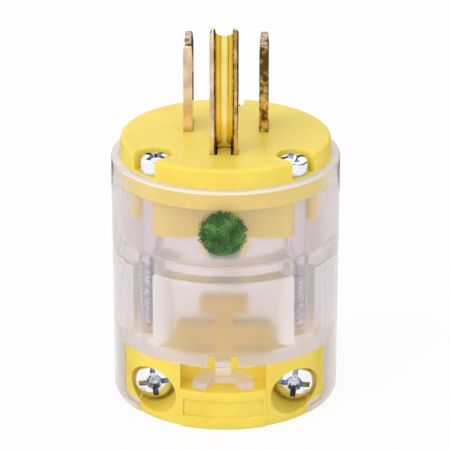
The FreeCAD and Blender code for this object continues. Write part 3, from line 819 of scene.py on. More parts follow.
@dataclass(frozen=True)
class MetalFinish(Finish):
    """Bare or plated metal with tarnished patches and pits and, where it has a depth, painted dark
    reflection that deepens towards a blade's tip.
    """

    dark: Colour
    light: Colour
    roughness: Span
    pit_strength: float
    pit_scale: float = 4000.0
    pit_depth: float = 0.00005
    patch_scale: float = 300.0
    patch_range: Span = (0.36, 0.62)
    # how much, and between which heights, the painted dark reflection deepens towards the tip
    painted_dark_depth: float = 0.0
    painted_dark_range: Span = (0.0525, 0.0555)

    def make(self, shop: Workshop) -> bpy.types.Material:
        """Build the material.

        Args:
            shop: the shared groups.

        Returns:
            The material.
        """
        graph = FinishGraph(self.name)
        marks = graph.group(shop.marks, {"Tarnish_and_shade": self.patch_scale, "Pits": self.pit_scale})
        tarnish_and_shade = marks["Tarnish_and_shade"]
        graph.dress({"Metallic": 1.0, "Roughness": graph.spread(tarnish_and_shade, self.roughness)})
        # painted dark reflection: the patch mask is pushed darker towards the top of the blade
        if self.painted_dark_depth:
            height = graph.add("ShaderNodeSeparateXYZ", {"Vector": graph.place()}).outputs["Z"]
            depth = graph.spread(height, (0.0, -self.painted_dark_depth), self.painted_dark_range)
            tarnish_and_shade = graph.calculate("ADD", tarnish_and_shade, depth)
        graph.dress({"Base Color": graph.ramp(tarnish_and_shade, self.patch_range, (self.dark, self.light))})
        graph.bump(marks["Pits"], self.pit_strength, self.pit_depth)
        return graph.material


@dataclass(frozen=True)
class DotFinish(Finish):
    """Speckled green printing ink whose edge breaks up into grains."""

    radius: float
    height: float
    shades: tuple[Colour, ...] = ((0.012, 0.038, 0.008), (0.034, 0.110, 0.022), (0.165, 0.305, 0.088))
    shade_stops: tuple[float, ...] = (0.0, 0.5, 1.0)
    blotch_range: Span = (0.7, 1.35)
    drift_scale: float = 420.0
    skin_scale: float = 4600.0
    skin_strength: float = 0.4
    skin_depth: float = 0.0001
    roughness: float = 0.7
    gloss: float = 0.25
    fade_shares: Span = (0.76, 1.06)
    speck: float = 0.4
    speck_range: Span = (0.22, 0.62)

    def make(self, shop: Workshop) -> bpy.types.Material:
        """Build the material.

        Args:
            shop: the shared groups.

        Returns:
            The material.
        """
        graph = FinishGraph(self.name)
        grain = graph.group(shop.grain, {"Drift": self.drift_scale, "Skin": self.skin_scale})
        blotch = graph.calculate("ADD", grain["Drift"], grain["Skin"])
        shade = graph.spread(blotch, (0.0, 1.0), self.blotch_range)
        specks = graph.spread(grain["Skin"], (-self.speck, self.speck))
        edge = graph.calculate("ADD", self._fade(graph), specks)
        graph.dress({
            "Base Color": graph.ramp(shade, self.shade_stops, self.shades),
            "Roughness": self.roughness,
            "Specular IOR Level": self.gloss,
            "Alpha": graph.spread(edge, (0.0, 1.0), self.speck_range),
        })
        graph.bump(grain["Skin"], self.skin_strength, self.skin_depth)
        return graph.material

    def _fade(self, graph: FinishGraph) -> Socket:
        """Mask that fades from the dot's middle to its edge.

        Args:
            graph: the ink's nodes.

        Returns:
            The mask.
        """
        from_front, to_middle = (1.0, 0.0, 1.0), (0.0, 0.0, -self.height)
        flat = graph.add("ShaderNodeVectorMath", {0: graph.place(), 1: from_front, 2: to_middle})
        flat.operation = "MULTIPLY_ADD"
        reach = graph.add("ShaderNodeVectorMath", {0: flat.outputs["Vector"]})
        reach.operation = "LENGTH"
        full, gone = self.fade_shares
        return graph.spread(reach.outputs["Value"], (1.0, 0.0), (self.radius * full, self.radius * gone))


YELLOW = NylonFinish("yellow_nylon", dark=(0.84, 0.635, 0.08), light=(0.90, 0.71, 0.105))
# darker copy of the yellow nylon for the clamp's tongue: painted shade
SHADED_YELLOW = NylonFinish("yellow_nylon_painted_shade", dark=(0.60, 0.385, 0.01), light=(0.66, 0.435, 0.014))
CLEAR = ClearFinish("clear_polycarbonate", dark=(0.87, 0.788, 0.812), light=(0.895, 0.815, 0.838),
                    roughness=(0.18, 0.22), clearness=0.915)
FROSTED = ClearFinish("frosted_polycarbonate", dark=(0.98, 0.95, 0.97), light=(0.99, 0.965, 0.98),
                      roughness=(0.32, 0.36), clearness=0.88)
MILKY = ClearFinish("milky_polycarbonate", dark=(0.96, 0.915, 0.91), light=(0.975, 0.935, 0.93),
                    roughness=(0.44, 0.50), clearness=0.15)
PINK = ClearFinish("pink_polycarbonate", dark=(0.82, 0.71, 0.70), light=(0.89, 0.79, 0.78),
                   roughness=(0.32, 0.36), clearness=0.66)
RUBBED_RIM = ClearFinish("rubbed_polycarbonate", dark=(0.945, 0.885, 0.885), light=(0.96, 0.905, 0.90),
                         roughness=(0.36, 0.42), clearness=0.45)
POLISHED = ClearFinish("polished_polycarbonate", dark=(0.985, 0.96, 0.95), light=(0.995, 0.975, 0.965),
                       roughness=(0.12, 0.16), clearness=0.99)
BRASS = MetalFinish("sheet_brass", dark=(0.90, 0.72, 0.24), light=(0.96, 0.82, 0.33),
                    roughness=(0.10, 0.20), pit_strength=0.12)
SHEARED = MetalFinish("sheared_edge", dark=(0.62, 0.42, 0.26), light=(0.90, 0.70, 0.47),
                      roughness=(0.20, 0.34), pit_strength=0.3)
# near-black brass on the pin's faces turned towards its channel: painted shade
CHANNEL_SHADE_BRASS = MetalFinish("pin_channel_painted_shade", dark=(0.07, 0.04, 0.015), light=(0.50, 0.35, 0.17),
                    roughness=(0.16, 0.30), pit_strength=0.5, patch_scale=1100.0)
# brass patched dark brown for the blades' tip tops and front corners: painted dark reflection
TIP_REFLECTION_BRASS = MetalFinish("blade_tip_painted_reflection", dark=(0.22, 0.14, 0.06), light=(0.86, 0.66, 0.44),
                       roughness=(0.16, 0.30), pit_strength=0.4, patch_scale=900.0)
# darker gold for the pin's right front edge than for its left one: painted reflection
RIGHT_EDGE_REFLECTION_BRASS = MetalFinish("pin_right_edge_painted_reflection", dark=(0.42, 0.25, 0.06), light=(0.74, 0.50, 0.17),
                          roughness=(0.16, 0.30), pit_strength=0.4, patch_scale=700.0)
# the right blade's cut edge: real edge speckle, darkened as painted reflection and more so towards the tip
SPOTTED_REFLECTION_EDGE = MetalFinish("spotted_edge_painted_reflection", dark=(0.11, 0.055, 0.018), light=(0.70, 0.47, 0.15),
                      roughness=(0.16, 0.30), pit_strength=0.5, patch_scale=1000.0, painted_dark_depth=0.14)
ZINC = MetalFinish("bright_zinc", dark=(0.86, 0.89, 0.95), light=(0.93, 0.95, 0.99),
                   roughness=(0.08, 0.16), pit_strength=0.04)
# darker zinc inside the cross recesses: painted shade
RECESS_SHADE_ZINC = MetalFinish("recess_zinc_painted_shade", dark=(0.34, 0.37, 0.45), light=(0.74, 0.77, 0.84),
                          roughness=(0.10, 0.18), pit_strength=0.05, patch_scale=900.0)
# zinc with dark bluish speckle on the threads: painted reflection
THREAD_ZINC = MetalFinish("thread_zinc", dark=(0.56, 0.60, 0.69), light=(0.96, 0.97, 1.0),
                          roughness=(0.10, 0.22), pit_strength=0.3, patch_scale=1500.0)
TURNED_BRASS = MetalFinish("turned_brass", dark=(0.60, 0.42, 0.16), light=(0.84, 0.64, 0.30),
                           roughness=(0.2, 0.3), pit_strength=0.1)
GREEN_CHROMATE = MetalFinish("green_chromate", dark=(0.15, 0.26, 0.14), light=(0.34, 0.44, 0.29),
                             roughness=(0.25, 0.35), pit_strength=0.1)


class ShellPart(Enum):
    """Which of the housing's finishes a face takes."""

    CLEAR = 0
    FROSTED = 1
    MILKY = 2
    PINK = 3
    RUBBED = 4
    POLISHED = 5


@dataclass
class Shell:
    """Clear housing with its bosses, rear cord jaw, clamp window and spring keeper."""

    layout: Layout
    foot_round: float = 1.75
    foot_steps: int = 9
    rim_round: float = 0.45
    rim_steps: int = 5
    inner_round: float = 0.25
    inner_steps: int = 4
    ledge_fillet: float = 0.9
    fillet_steps: int = 5
    ledge_bore: float = 12.5
    skin_depth: float = 1.0
    socket_gap: float = 0.1
    boss_radius: float = 3.0
    boss_foot: float = 13.5
    boss_drop: float = 0.03
    boss_steps: int = 72
    boss_hole_foot: float = 15.0
    screw_gap: float = 0.02
    jaw_foot: float = 0.02
    jaw_height: float = 12.0
    jaw_bite: float = 0.5
    jaw_steps: int = 96
    clamp_hole: float = 1.77
    clamp_hole_depth: float = 10.0
    lip_height: float = 1.9
    lip_edge: float = 0.4
    lip_drop: float = 0.3
    lip_reach: float = 0.5
    lip_rear: float = -2.0
    keeper_half: float = 1.3
    slot_width: float = 1.25
    slot_height: float = 1.95
    stem_thickness: float = 1.4
    stem_bite: float = 1.2
    bow: tuple[Point, ...] = ((3.1, -12.6), (5.1, -15.3), (5.1, -17.4), (2.8, -18.0), (1.6, -15.3))
    bow_low: float = 7.2
    bow_high: float = 8.5
    bow_soft: float = 0.2

    def section(self) -> list[Point]:
        """Half section of the turned wall, with rounded rim and floor corner.

        Returns:
            Radius and height of each corner.
        """
        plan = self.layout
        height, chamber = plan.shell_height, plan.chamber_radius
        foot_round, rim_round, inner_round, fillet = (
            self.foot_round, self.rim_round, self.inner_round, self.ledge_fillet)
        foot = plan.wall_radius(foot_round) - foot_round
        rim = plan.wall_radius(height - rim_round) - rim_round
        socket = plan.face_radius + self.socket_gap
        mouth = (socket + inner_round, height - inner_round)
        points: list[Point] = [(chamber, 0.0)]
        points += arc((foot, foot_round), foot_round, -90.0, 0.0, self.foot_steps)
        points += arc((rim, height - rim_round), rim_round, 0.0, 90.0, self.rim_steps)
        points += arc(mouth, inner_round, 90.0, 180.0, self.inner_steps)
        points += [(socket, plan.face_seat), (chamber, plan.face_seat)]
        points += arc((chamber - fillet, plan.ledge_top + fillet), fillet, 0.0, -90.0, self.fillet_steps)
        points += [(self.ledge_bore, plan.ledge_top), (self.ledge_bore, plan.ledge_foot)]
        points += arc((chamber - fillet, plan.ledge_foot - fillet), fillet, 90.0, 0.0, self.fillet_steps)
        return points

    def rear_jaw(self) -> Solid:
        """Half of the cord grip that is moulded into the housing.

        Returns:
            The jaw with its bore and grooves.
        """
        plan = self.layout
        radius = plan.chamber_radius + self.jaw_bite
        start = math.degrees(math.asin(plan.jaw_half_gap / radius))
        outline = arc((0.0, 0.0), radius, start, 180.0 - start, self.jaw_steps)
        jaw = Solid.prism("jaw", outline, Axis.Z, self.jaw_foot, self.jaw_height)
        return jaw.cut(*plan.bore_cutters(self.jaw_height))

    def window(self) -> Solid:
        """Cutter for the clamp window, narrower between the toes at its foot.

        Returns:
            The cutter.
        """
        plan = self.layout
        right = [(plan.toe_half, -PAST), (plan.toe_half, plan.toe_height)]
        right += plan.toe_bend(plan.toe_round)
        right.append((plan.window_half, plan.window_height))
        front = -plan.rim_radius - WELL_PAST
        return Solid.prism("window_cutter", mirrored(right), Axis.Y, front, -plan.jaw_half_gap)

    def lip(self) -> Solid:
        """Cutter that thins the wall from inside along the top of the window.

        Returns:
            The cutter.
        """
        plan = self.layout
        edge = plan.wall_radius(plan.window_height) - self.lip_edge
        low = plan.window_height - self.lip_drop
        inside = plan.chamber_radius - self.lip_reach
        slope = self.lip_height / (edge - plan.chamber_radius)
        top = plan.window_height + slope * (edge - inside)
        section = [(inside, low), (edge + self.lip_drop / slope, low), (inside, top)]
        ring = Solid.lathe("lip_cutter", section, LARGE_STEPS)
        half = plan.window_half
        front = oblong(-half, -plan.rim_radius - WELL_PAST, half, self.lip_rear)
        return ring.merge(Merge.KEEP, Solid.prism("lip_range", front, Axis.Z, 0.0, plan.shell_height))

    def side_cutters(self, side: int) -> list[Solid]:
        """Cutters that the housing has on both sides of its middle.

        Args:
            side: the side, left or right.

        Returns:
            The clamp screw's hole and the slot beside the keeper.
        """
        plan = self.layout
        hole = Solid.rod("clamp_hole_cutter", plan.clamp_screw_place(side), self.clamp_hole, Axis.Y, -PAST,
                         self.clamp_hole_depth)
        near, far = self.keeper_half * side, (self.keeper_half + self.slot_width) * side
        slot = oblong(near, plan.window_height - PAST, far, plan.window_height + self.slot_height)
        front = -plan.rim_radius - WELL_PAST
        return [hole, Solid.prism("slot_cutter", slot, Axis.Y, front, -plan.cord_radius)]

    def keeper(self) -> Solid:
        """Sloping stem and bow-shaped foot of the spring keeper.

        Returns:
            The keeper.
        """
        plan = self.layout
        top = plan.window_height + self.slot_height / 2
        foot = (self.bow_low + self.bow_high) / 2
        front, rear = -plan.chamber_radius - self.stem_bite, self.bow[0][1]
        stem = [
            (front, top),
            (front + self.stem_thickness, top),
            (rear, foot),
            (rear - self.stem_thickness, foot),
        ]
        keeper = Solid.prism("keeper", stem, Axis.X, -self.keeper_half, self.keeper_half)
        bow = Solid.prism("bow", mirrored(self.bow), Axis.Z, self.bow_low, self.bow_high)
        return keeper.join(bow.soften(self.bow_soft, segments=3))

    def skin(self, face: Face) -> ShellPart:
        """Tell which finish a face of the housing takes.

        Args:
            face: the face.

        Returns:
            Rubbed on the rim, polished in the face's socket, pink on the keeper and toes, milky on the jaw
            and bosses, frosted on the rest of the lower inside, and otherwise clear.
        """
        plan = self.layout
        x, y, z = face.center
        radius = math.hypot(x, y)
        away = min(math.dist((x, y), screw) for screw in plan.screw_places())
        if z > plan.shell_height - self.rim_round - NEAR:
            return ShellPart.RUBBED
        if z > plan.face_seat + NEAR and radius < plan.face_radius + 2.0 * self.socket_gap:
            return ShellPart.POLISHED
        if z > plan.ledge_top + NEAR or away < plan.screw_radius + 2.0 * self.screw_gap:
            return ShellPart.CLEAR
        if z < plan.window_height + NEAR and abs(x) < plan.window_half + NEAR and y < -plan.jaw_half_gap:
            return ShellPart.PINK
        if radius > plan.wall_radius(z) - self.skin_depth:
            return ShellPart.CLEAR
        on_boss = away < self.boss_radius + NEAR and self.boss_foot - NEAR < z < plan.ledge_foot
        on_jaw = z < self.jaw_height + NEAR
        return ShellPart.MILKY if on_boss or on_jaw else ShellPart.FROSTED

    def build(self, materials: Materials) -> bpy.types.Object:
        """Make the housing.

        Args:
            materials: the clear, the frosted, the milky, the pink, the rubbed and the polished finish.

        Returns:
            The finished piece.
        """
        plan = self.layout
        shell = Solid.lathe("clear_shell", self.section(), LARGE_STEPS)
        boss_top = plan.ledge_top - self.boss_drop
        for place in plan.screw_places():
            shell.join(Solid.rod("boss", place, self.boss_radius, Axis.Z, self.boss_foot, boss_top,
                                 self.boss_steps))
        shell.join(self.rear_jaw())
        shell.cut(self.window(), self.lip())
        for place in plan.screw_places():
            shell.cut(Solid.rod("hole_cutter", place, plan.screw_radius + self.screw_gap, Axis.Z,
                                self.boss_hole_foot, plan.ledge_top + PAST))
        for side in SIDES:
            shell.cut(*self.side_cutters(side))
        shell.join(self.keeper())
        return shell.paint(self.skin).finish(materials, "clear_polycarbonate", "shell")


@dataclass
class FaceBody:
    """Yellow front of the plug with its screw notches, pin slots and terminal block."""

    layout: Layout
    edge_round: float = 0.7
    edge_steps: int = 6
    soft: float = 0.3
    soft_angle: float = 50.0
    soft_from: float = 0.1
    notch_half: float = 2.7
    notch_steps: int = 24
    mouth_half: float = 2.75
    block_half: float = 11.6
    block_front: float = -12.9
    block_rear: float = 12.0
    block_foot: float = 33.0
    block_round: float = 2.6
    block_steps: int = 8
    bite: float = 0.5
    rib_circle: float = 15.6
    rib_angle: float = 62.0
    rib_radius: float = 1.0
    rib_foot: float = 34.5
    rib_steps: int = 32
    groove_radius: float = 1.79
    groove_bite: float = 0.2
    slot_gap: float = 0.05
    channel_gap: float = 0.35
    pin_root: float = 39.85
    pocket_half: float = 8.2
    pocket_front: float = -11.4
    pocket_rear: float = 10.5

    def disc(self) -> Solid:
        """Round face with a softened edge.

        Returns:
            The disc.
        """
        plan = self.layout
        radius, top, round_ = plan.face_radius, plan.face_top, self.edge_round
        section: list[Point] = [(0.0, plan.face_seat), (radius, plan.face_seat)]
        section += arc((radius - round_, top - round_), round_, 0.0, 90.0, self.edge_steps)
        section += [(0.0, top)]
        return Solid.lathe("yellow_face", section, LARGE_STEPS)

    def notch(self, turn: float) -> Solid:
        """Cutter of one flared U notch in the rim.

        Args:
            turn: where it is, in degrees from the front.

        Returns:
            The cutter.
        """
        plan = self.layout
        flare = (self.mouth_half - self.notch_half) / (plan.face_radius - plan.screw_circle)
        outside = plan.face_radius + WELL_PAST
        wide = self.mouth_half + flare * WELL_PAST
        outline = [plan.polar(turn, outside, -wide), plan.polar(turn, outside, wide)]
        for across, inwards in arc((0.0, 0.0), self.notch_half, 0.0, 180.0, self.notch_steps):
            outline.append(plan.polar(turn, plan.screw_circle - inwards, across))
        return Solid.prism("notch_cutter", outline, Axis.Z, plan.screw_seat, plan.face_top + WELL_PAST)

    def block(self) -> Solid:
        """Terminal block below the face, with rounded corners.

        Returns:
            The block.
        """
        round_ = self.block_round
        half, front, rear = self.block_half - round_, self.block_front + round_, self.block_rear - round_
        outline = []
        for quarter, corner in enumerate(((half, front), (half, rear), (-half, rear), (-half, front))):
            outline += arc(corner, round_, 90.0 * (quarter - 1), 90.0 * quarter, self.block_steps)
        return Solid.prism("block", outline, Axis.Z, self.block_foot, self.layout.face_seat + self.bite)

    def rib(self, side: int) -> Solid:
        """Small upright rib beside the block.

        Args:
            side: the side, left or right.

        Returns:
            The rib.
        """
        plan = self.layout
        place = plan.polar(self.rib_angle * side, self.rib_circle, 0.0)
        return Solid.rod("rib", place, self.rib_radius, Axis.Z, self.rib_foot, plan.face_seat + self.bite,
                         self.rib_steps)

    def blade_slots(self) -> list[Solid]:
        """Cutters for the blades' slots and for the wider slots of their shoulders.

        Returns:
            Two cutters for each blade.
        """
        plan, gap = self.layout, self.slot_gap
        half = Blade.half_thickness + gap
        stretches = (
            (Blade.half_width + gap, plan.shoulder_top - PAST, plan.face_top + PAST),
            (Blade.shoulder_half + gap, self.block_foot, plan.shoulder_top + gap),
        )
        cutters = []
        for side in SIDES:
            x = plan.blade_x * side
            for reach, low, high in stretches:
                outline = oblong(x - half, plan.blade_y - reach, x + half, plan.blade_y + reach)
                cutters.append(Solid.prism("blade_slot_cutter", outline, Axis.Z, low, high))
        return cutters

    def build(self, materials: Materials) -> bpy.types.Object:
        """Make the face body.

        Args:
            materials: the yellow finish.

        Returns:
            The finished piece.
        """
        plan = self.layout
        foot = self.block_foot - PAST
        face = self.disc()
        face.cut(*[self.notch(turn) for turn in plan.screw_turns()])
        face.join(self.block(), *[self.rib(side) for side in SIDES])
        shown = plan.face_seat + self.soft_from
        face.soften(self.soft, segments=3, angle=self.soft_angle,
                    wanted=lambda edge: all(vert.co.z > shown for vert in edge.verts))
        for place in plan.screw_places():
            face.cut(Solid.rod("screw_cutter", place, self.groove_radius, Axis.Z, foot,
                               plan.screw_seat + self.groove_bite))
        face.cut(*self.blade_slots())
        face.cut(GroundPin(plan).channel("pin_slot_cutter", self.slot_gap, self.channel_gap, self.pin_root,
                                         plan.face_top + PAST))
        pocket = oblong(-self.pocket_half, self.pocket_front, self.pocket_half, self.pocket_rear)
        face.cut(Solid.prism("pocket_cutter", pocket, Axis.Z, foot, plan.retainer_top))
        return face.finish(materials, "yellow_nylon", "face_body")


class BladePart(Enum):
    """Which of the finishes of a blade or of the pin a face takes."""

    SHEET = 0
    EDGE = 1
    # darker brass on a blade's tip (painted reflection) and on the pin's channel side (painted shade)
    TIP = 2
    # the pin's right front edge, darker than the left: painted reflection
    RUBBED = 3


@dataclass
class GroundPin:
    """Folded brass pin of U section with its tail plate."""

    layout: Layout
    root: float = 39.9
    bend_steps: int = 32
    nose_height: float = 1.2
    nose_inset: float = 0.4
    web_drop: float = 3.0
    cutter_half: float = 4.0
    front_round: float = 0.36
    lip_round: float = 0.24
    # how far a face has to turn towards the channel to take the painted shade
    dark_side: float = 0.15
    shoulder_half: float = 4.75
    tail_half: float = 4.0
    hole_front: float = -12.0
    hole_steps: int = 40

    def channel(self, name: str, gap: float, channel_gap: float, low: float, high: float) -> Solid:
        """Stretch of the U section, grown by a gap.

        Args:
            name: name of the object.
            gap: how much thicker than the sheet it is on the outside.
            channel_gap: how much thicker it is on the inside.
            low: height of its foot.
            high: height of its top.

        Returns:
            The channel.
        """
        plan = self.layout
        outer, inner = plan.pin_radius + gap, plan.pin_radius - plan.pin_wall - channel_gap
        middle, front = (0.0, plan.pin_y), plan.pin_y - plan.pin_radius - gap
        outline = [(outer, front)]
        outline += arc(middle, outer, 0.0, 180.0, self.bend_steps)
        outline += [(-outer, front), (-inner, front)]
        outline += arc(middle, inner, 180.0, 0.0, self.bend_steps)
        outline += [(inner, front)]
        return Solid.prism(name, outline, Axis.Z, low, high)

    def part_of(self, face: Face) -> BladePart:
        """Tell which finish a face of the pin takes.

        Args:
            face: the face.

        Returns:
            The cut edges in front are bare, the right one in a darker gold than the left as painted
            reflection, their faces towards the channel are painted shade, and the rest is sheet.
        """
        plan = self.layout
        front = plan.pin_y - plan.pin_radius + self.front_round
        inner = plan.pin_radius - plan.pin_wall + self.lip_round
        x, y, z = face.center
        if z < plan.face_top or y > front:
            return BladePart.SHEET
        # faces turned towards the channel take near-black brass: painted shade
        if abs(x) < inner and face.normal.x * x < 0.0 and abs(face.normal.x) > self.dark_side:
            return BladePart.TIP
        if not faces_front(face):
            return BladePart.SHEET
        # the right front edge takes a darker gold than the left one: painted reflection
        return BladePart.RUBBED if x > 0.0 else BladePart.EDGE

    def trim_tip(self, pin: Solid) -> None:
        """Slope the sides and the web of the tip.

        Args:
            pin: the pin to cut.
        """
        plan = self.layout
        tip, above = plan.pin_tip, plan.pin_tip + plan.tip_past
        for side in SIDES:
            edge = (plan.pin_radius + HAIR) * side
            inner = (plan.pin_radius - self.nose_inset) * side
            nose = [(edge, tip - self.nose_height), (edge, above), (inner, above), (inner, tip)]
            pin.cut(Solid.prism("nose_cutter", nose, Axis.Y, plan.pin_y - self.cutter_half,
                                plan.pin_y + self.cutter_half))
        front = plan.pin_y - plan.pin_radius + plan.pin_wall
        rear = plan.pin_y + plan.pin_radius + HAIR
        slope = [(front, tip), (rear, tip - self.web_drop), (rear, above), (front, above)]
        pin.cut(Solid.prism("slope_cutter", slope, Axis.X, -self.cutter_half, self.cutter_half))

    def round_edges(self, pin: Solid) -> None:
        """Round the upright edges in front more than the others.

        Args:
            pin: the pin to round.
        """
        plan = self.layout
        front = plan.pin_y - plan.pin_radius + HAIR
        middle = plan.pin_radius - plan.pin_wall / 2

        def corner(edge: Edge, outer: bool) -> bool:
            """Tell whether an edge is an upright front corner, either outside or towards the channel."""
            ends = [v.co.y < front and (abs(v.co.x) > middle) == outer for v in edge.verts]
            return all(ends) and is_upright(edge)

        pin.soften(self.front_round, segments=4, wanted=lambda edge: corner(edge, True))
        pin.soften(self.lip_round, segments=3, wanted=lambda edge: corner(edge, False))
        pin.soften(plan.sheet_soft)

    def tail(self) -> Solid:
        """Flat tail plate with its terminal hole.

        Returns:
            The plate.
        """
        plan = self.layout
        rear = plan.pin_y + plan.pin_radius
        outline = mirrored(plan.tail_edge(self.tail_half, self.shoulder_half))
        tail = Solid.prism("tail", outline, Axis.Y, rear - plan.pin_wall, rear)
        tail.cut(Solid.rod("hole_cutter", (0.0, plan.terminal_z), plan.terminal_radius, Axis.Y,
                           self.hole_front, 0.0, self.hole_steps))
        return tail.soften(plan.sheet_soft)

    def build(self, materials: Materials) -> bpy.types.Object:
        """Make the pin.

        Args:
            materials: finishes of the sheet, the left cut edge, the painted shade on the edges' channel side
                and the right cut edge, darker as painted reflection.

        Returns:
            The finished piece.
        """
        pin = self.channel("ground_pin_brass", 0.0, 0.0, self.root, self.layout.pin_tip)
        self.trim_tip(pin)
        self.round_edges(pin)
        pin.join(self.tail())
        return pin.paint(self.part_of).finish(materials, "brass", "ground_pin")


@dataclass
class Blade:
    """One flat brass blade with its bevelled tip, shoulder and tail."""

    layout: Layout
    node: str
    side: int
    half_thickness: float = 0.76
    half_width: float = 3.175
    shoulder_half: float = 4.1
    tail_half: float = 3.5
    bevel_height: float = 2.3
    tip_half: float = 0.55
    cutter_half: float = 6.0
    corner: float = 1.3
    corner_steps: int = 6
    hole_radius: float = 1.6
    hole_height: float = 11.0
    edge_round: float = 0.42
    edge_start: float = 2.0
    tip_up: float = 0.7
    tip_slant: Span = (-0.97, -0.25)

    def part_of(self, face: Face) -> BladePart:
        """Tell which finish a face of the blade takes.

        Args:
            face: the face.

        Returns:
            The top and the front corner are the tip, the front above the face is the cut edge, and the rest
            is sheet.
        """
        plan, normal = self.layout, face.normal
        slanting = self.tip_slant[0] < normal.y < self.tip_slant[1]
        # the tip's top and sloping front corner take the dark patched brass: painted reflection
        if face.center.z > plan.blade_tip - self.corner and (normal.z > self.tip_up or slanting):
            return BladePart.TIP
        if face.center.z > plan.face_top and faces_front(face):
            return BladePart.EDGE
        return BladePart.SHEET

    def build(self, materials: Materials) -> bpy.types.Object:
        """Make the blade.

        Args:
            materials: finishes of the sheet, of the cut edge in front and of the tip, whose dark patches are
                painted reflection.

        Returns:
            The finished piece.
        """
        plan = self.layout
        tip, above = plan.blade_tip, plan.blade_tip + plan.tip_past
        right = plan.tail_edge(self.tail_half, self.shoulder_half)
        right.append((self.half_width, plan.shoulder_top))
        bend = (self.half_width - self.corner, tip - self.corner)
        right += arc(bend, self.corner, 0.0, 90.0, self.corner_steps)
        outline = [(plan.blade_y + y, z) for y, z in mirrored(right)]
        x = plan.blade_x * self.side
        low, high = x - self.half_thickness, x + self.half_thickness
        blade = Solid.prism(f"{self.node}_brass", outline, Axis.X, low, high)
        for edge, inner in ((low - HAIR, x - self.tip_half), (high + HAIR, x + self.tip_half)):
            bevel = [(edge, tip - self.bevel_height), (inner, tip), (inner, above), (edge, above)]
            blade.cut(Solid.prism("tip_cutter", bevel, Axis.Y, plan.blade_y - self.cutter_half,
                                  plan.blade_y + self.cutter_half))
        for height, radius in ((plan.face_top + self.hole_height, self.hole_radius),
                               (plan.terminal_z, plan.terminal_radius)):
            place = (plan.blade_y, height)
            blade.cut(Solid.rod("hole_cutter", place, radius, Axis.X, low - PAST, high + PAST))
        shown = plan.face_top - self.edge_start
        blade.soften(self.edge_round, segments=4,
                     wanted=lambda edge: all(v.co.z > shown for v in edge.verts) and is_upright(edge))
        blade.soften(plan.sheet_soft)
        return blade.paint(self.part_of).finish(materials, "brass", self.node)


class ClampPart(Enum):
    """Which of the clamp's finishes a face takes."""

    BLOCK = 0
    # the tongue takes the darker copy of the yellow: painted shade
    TONGUE = 1


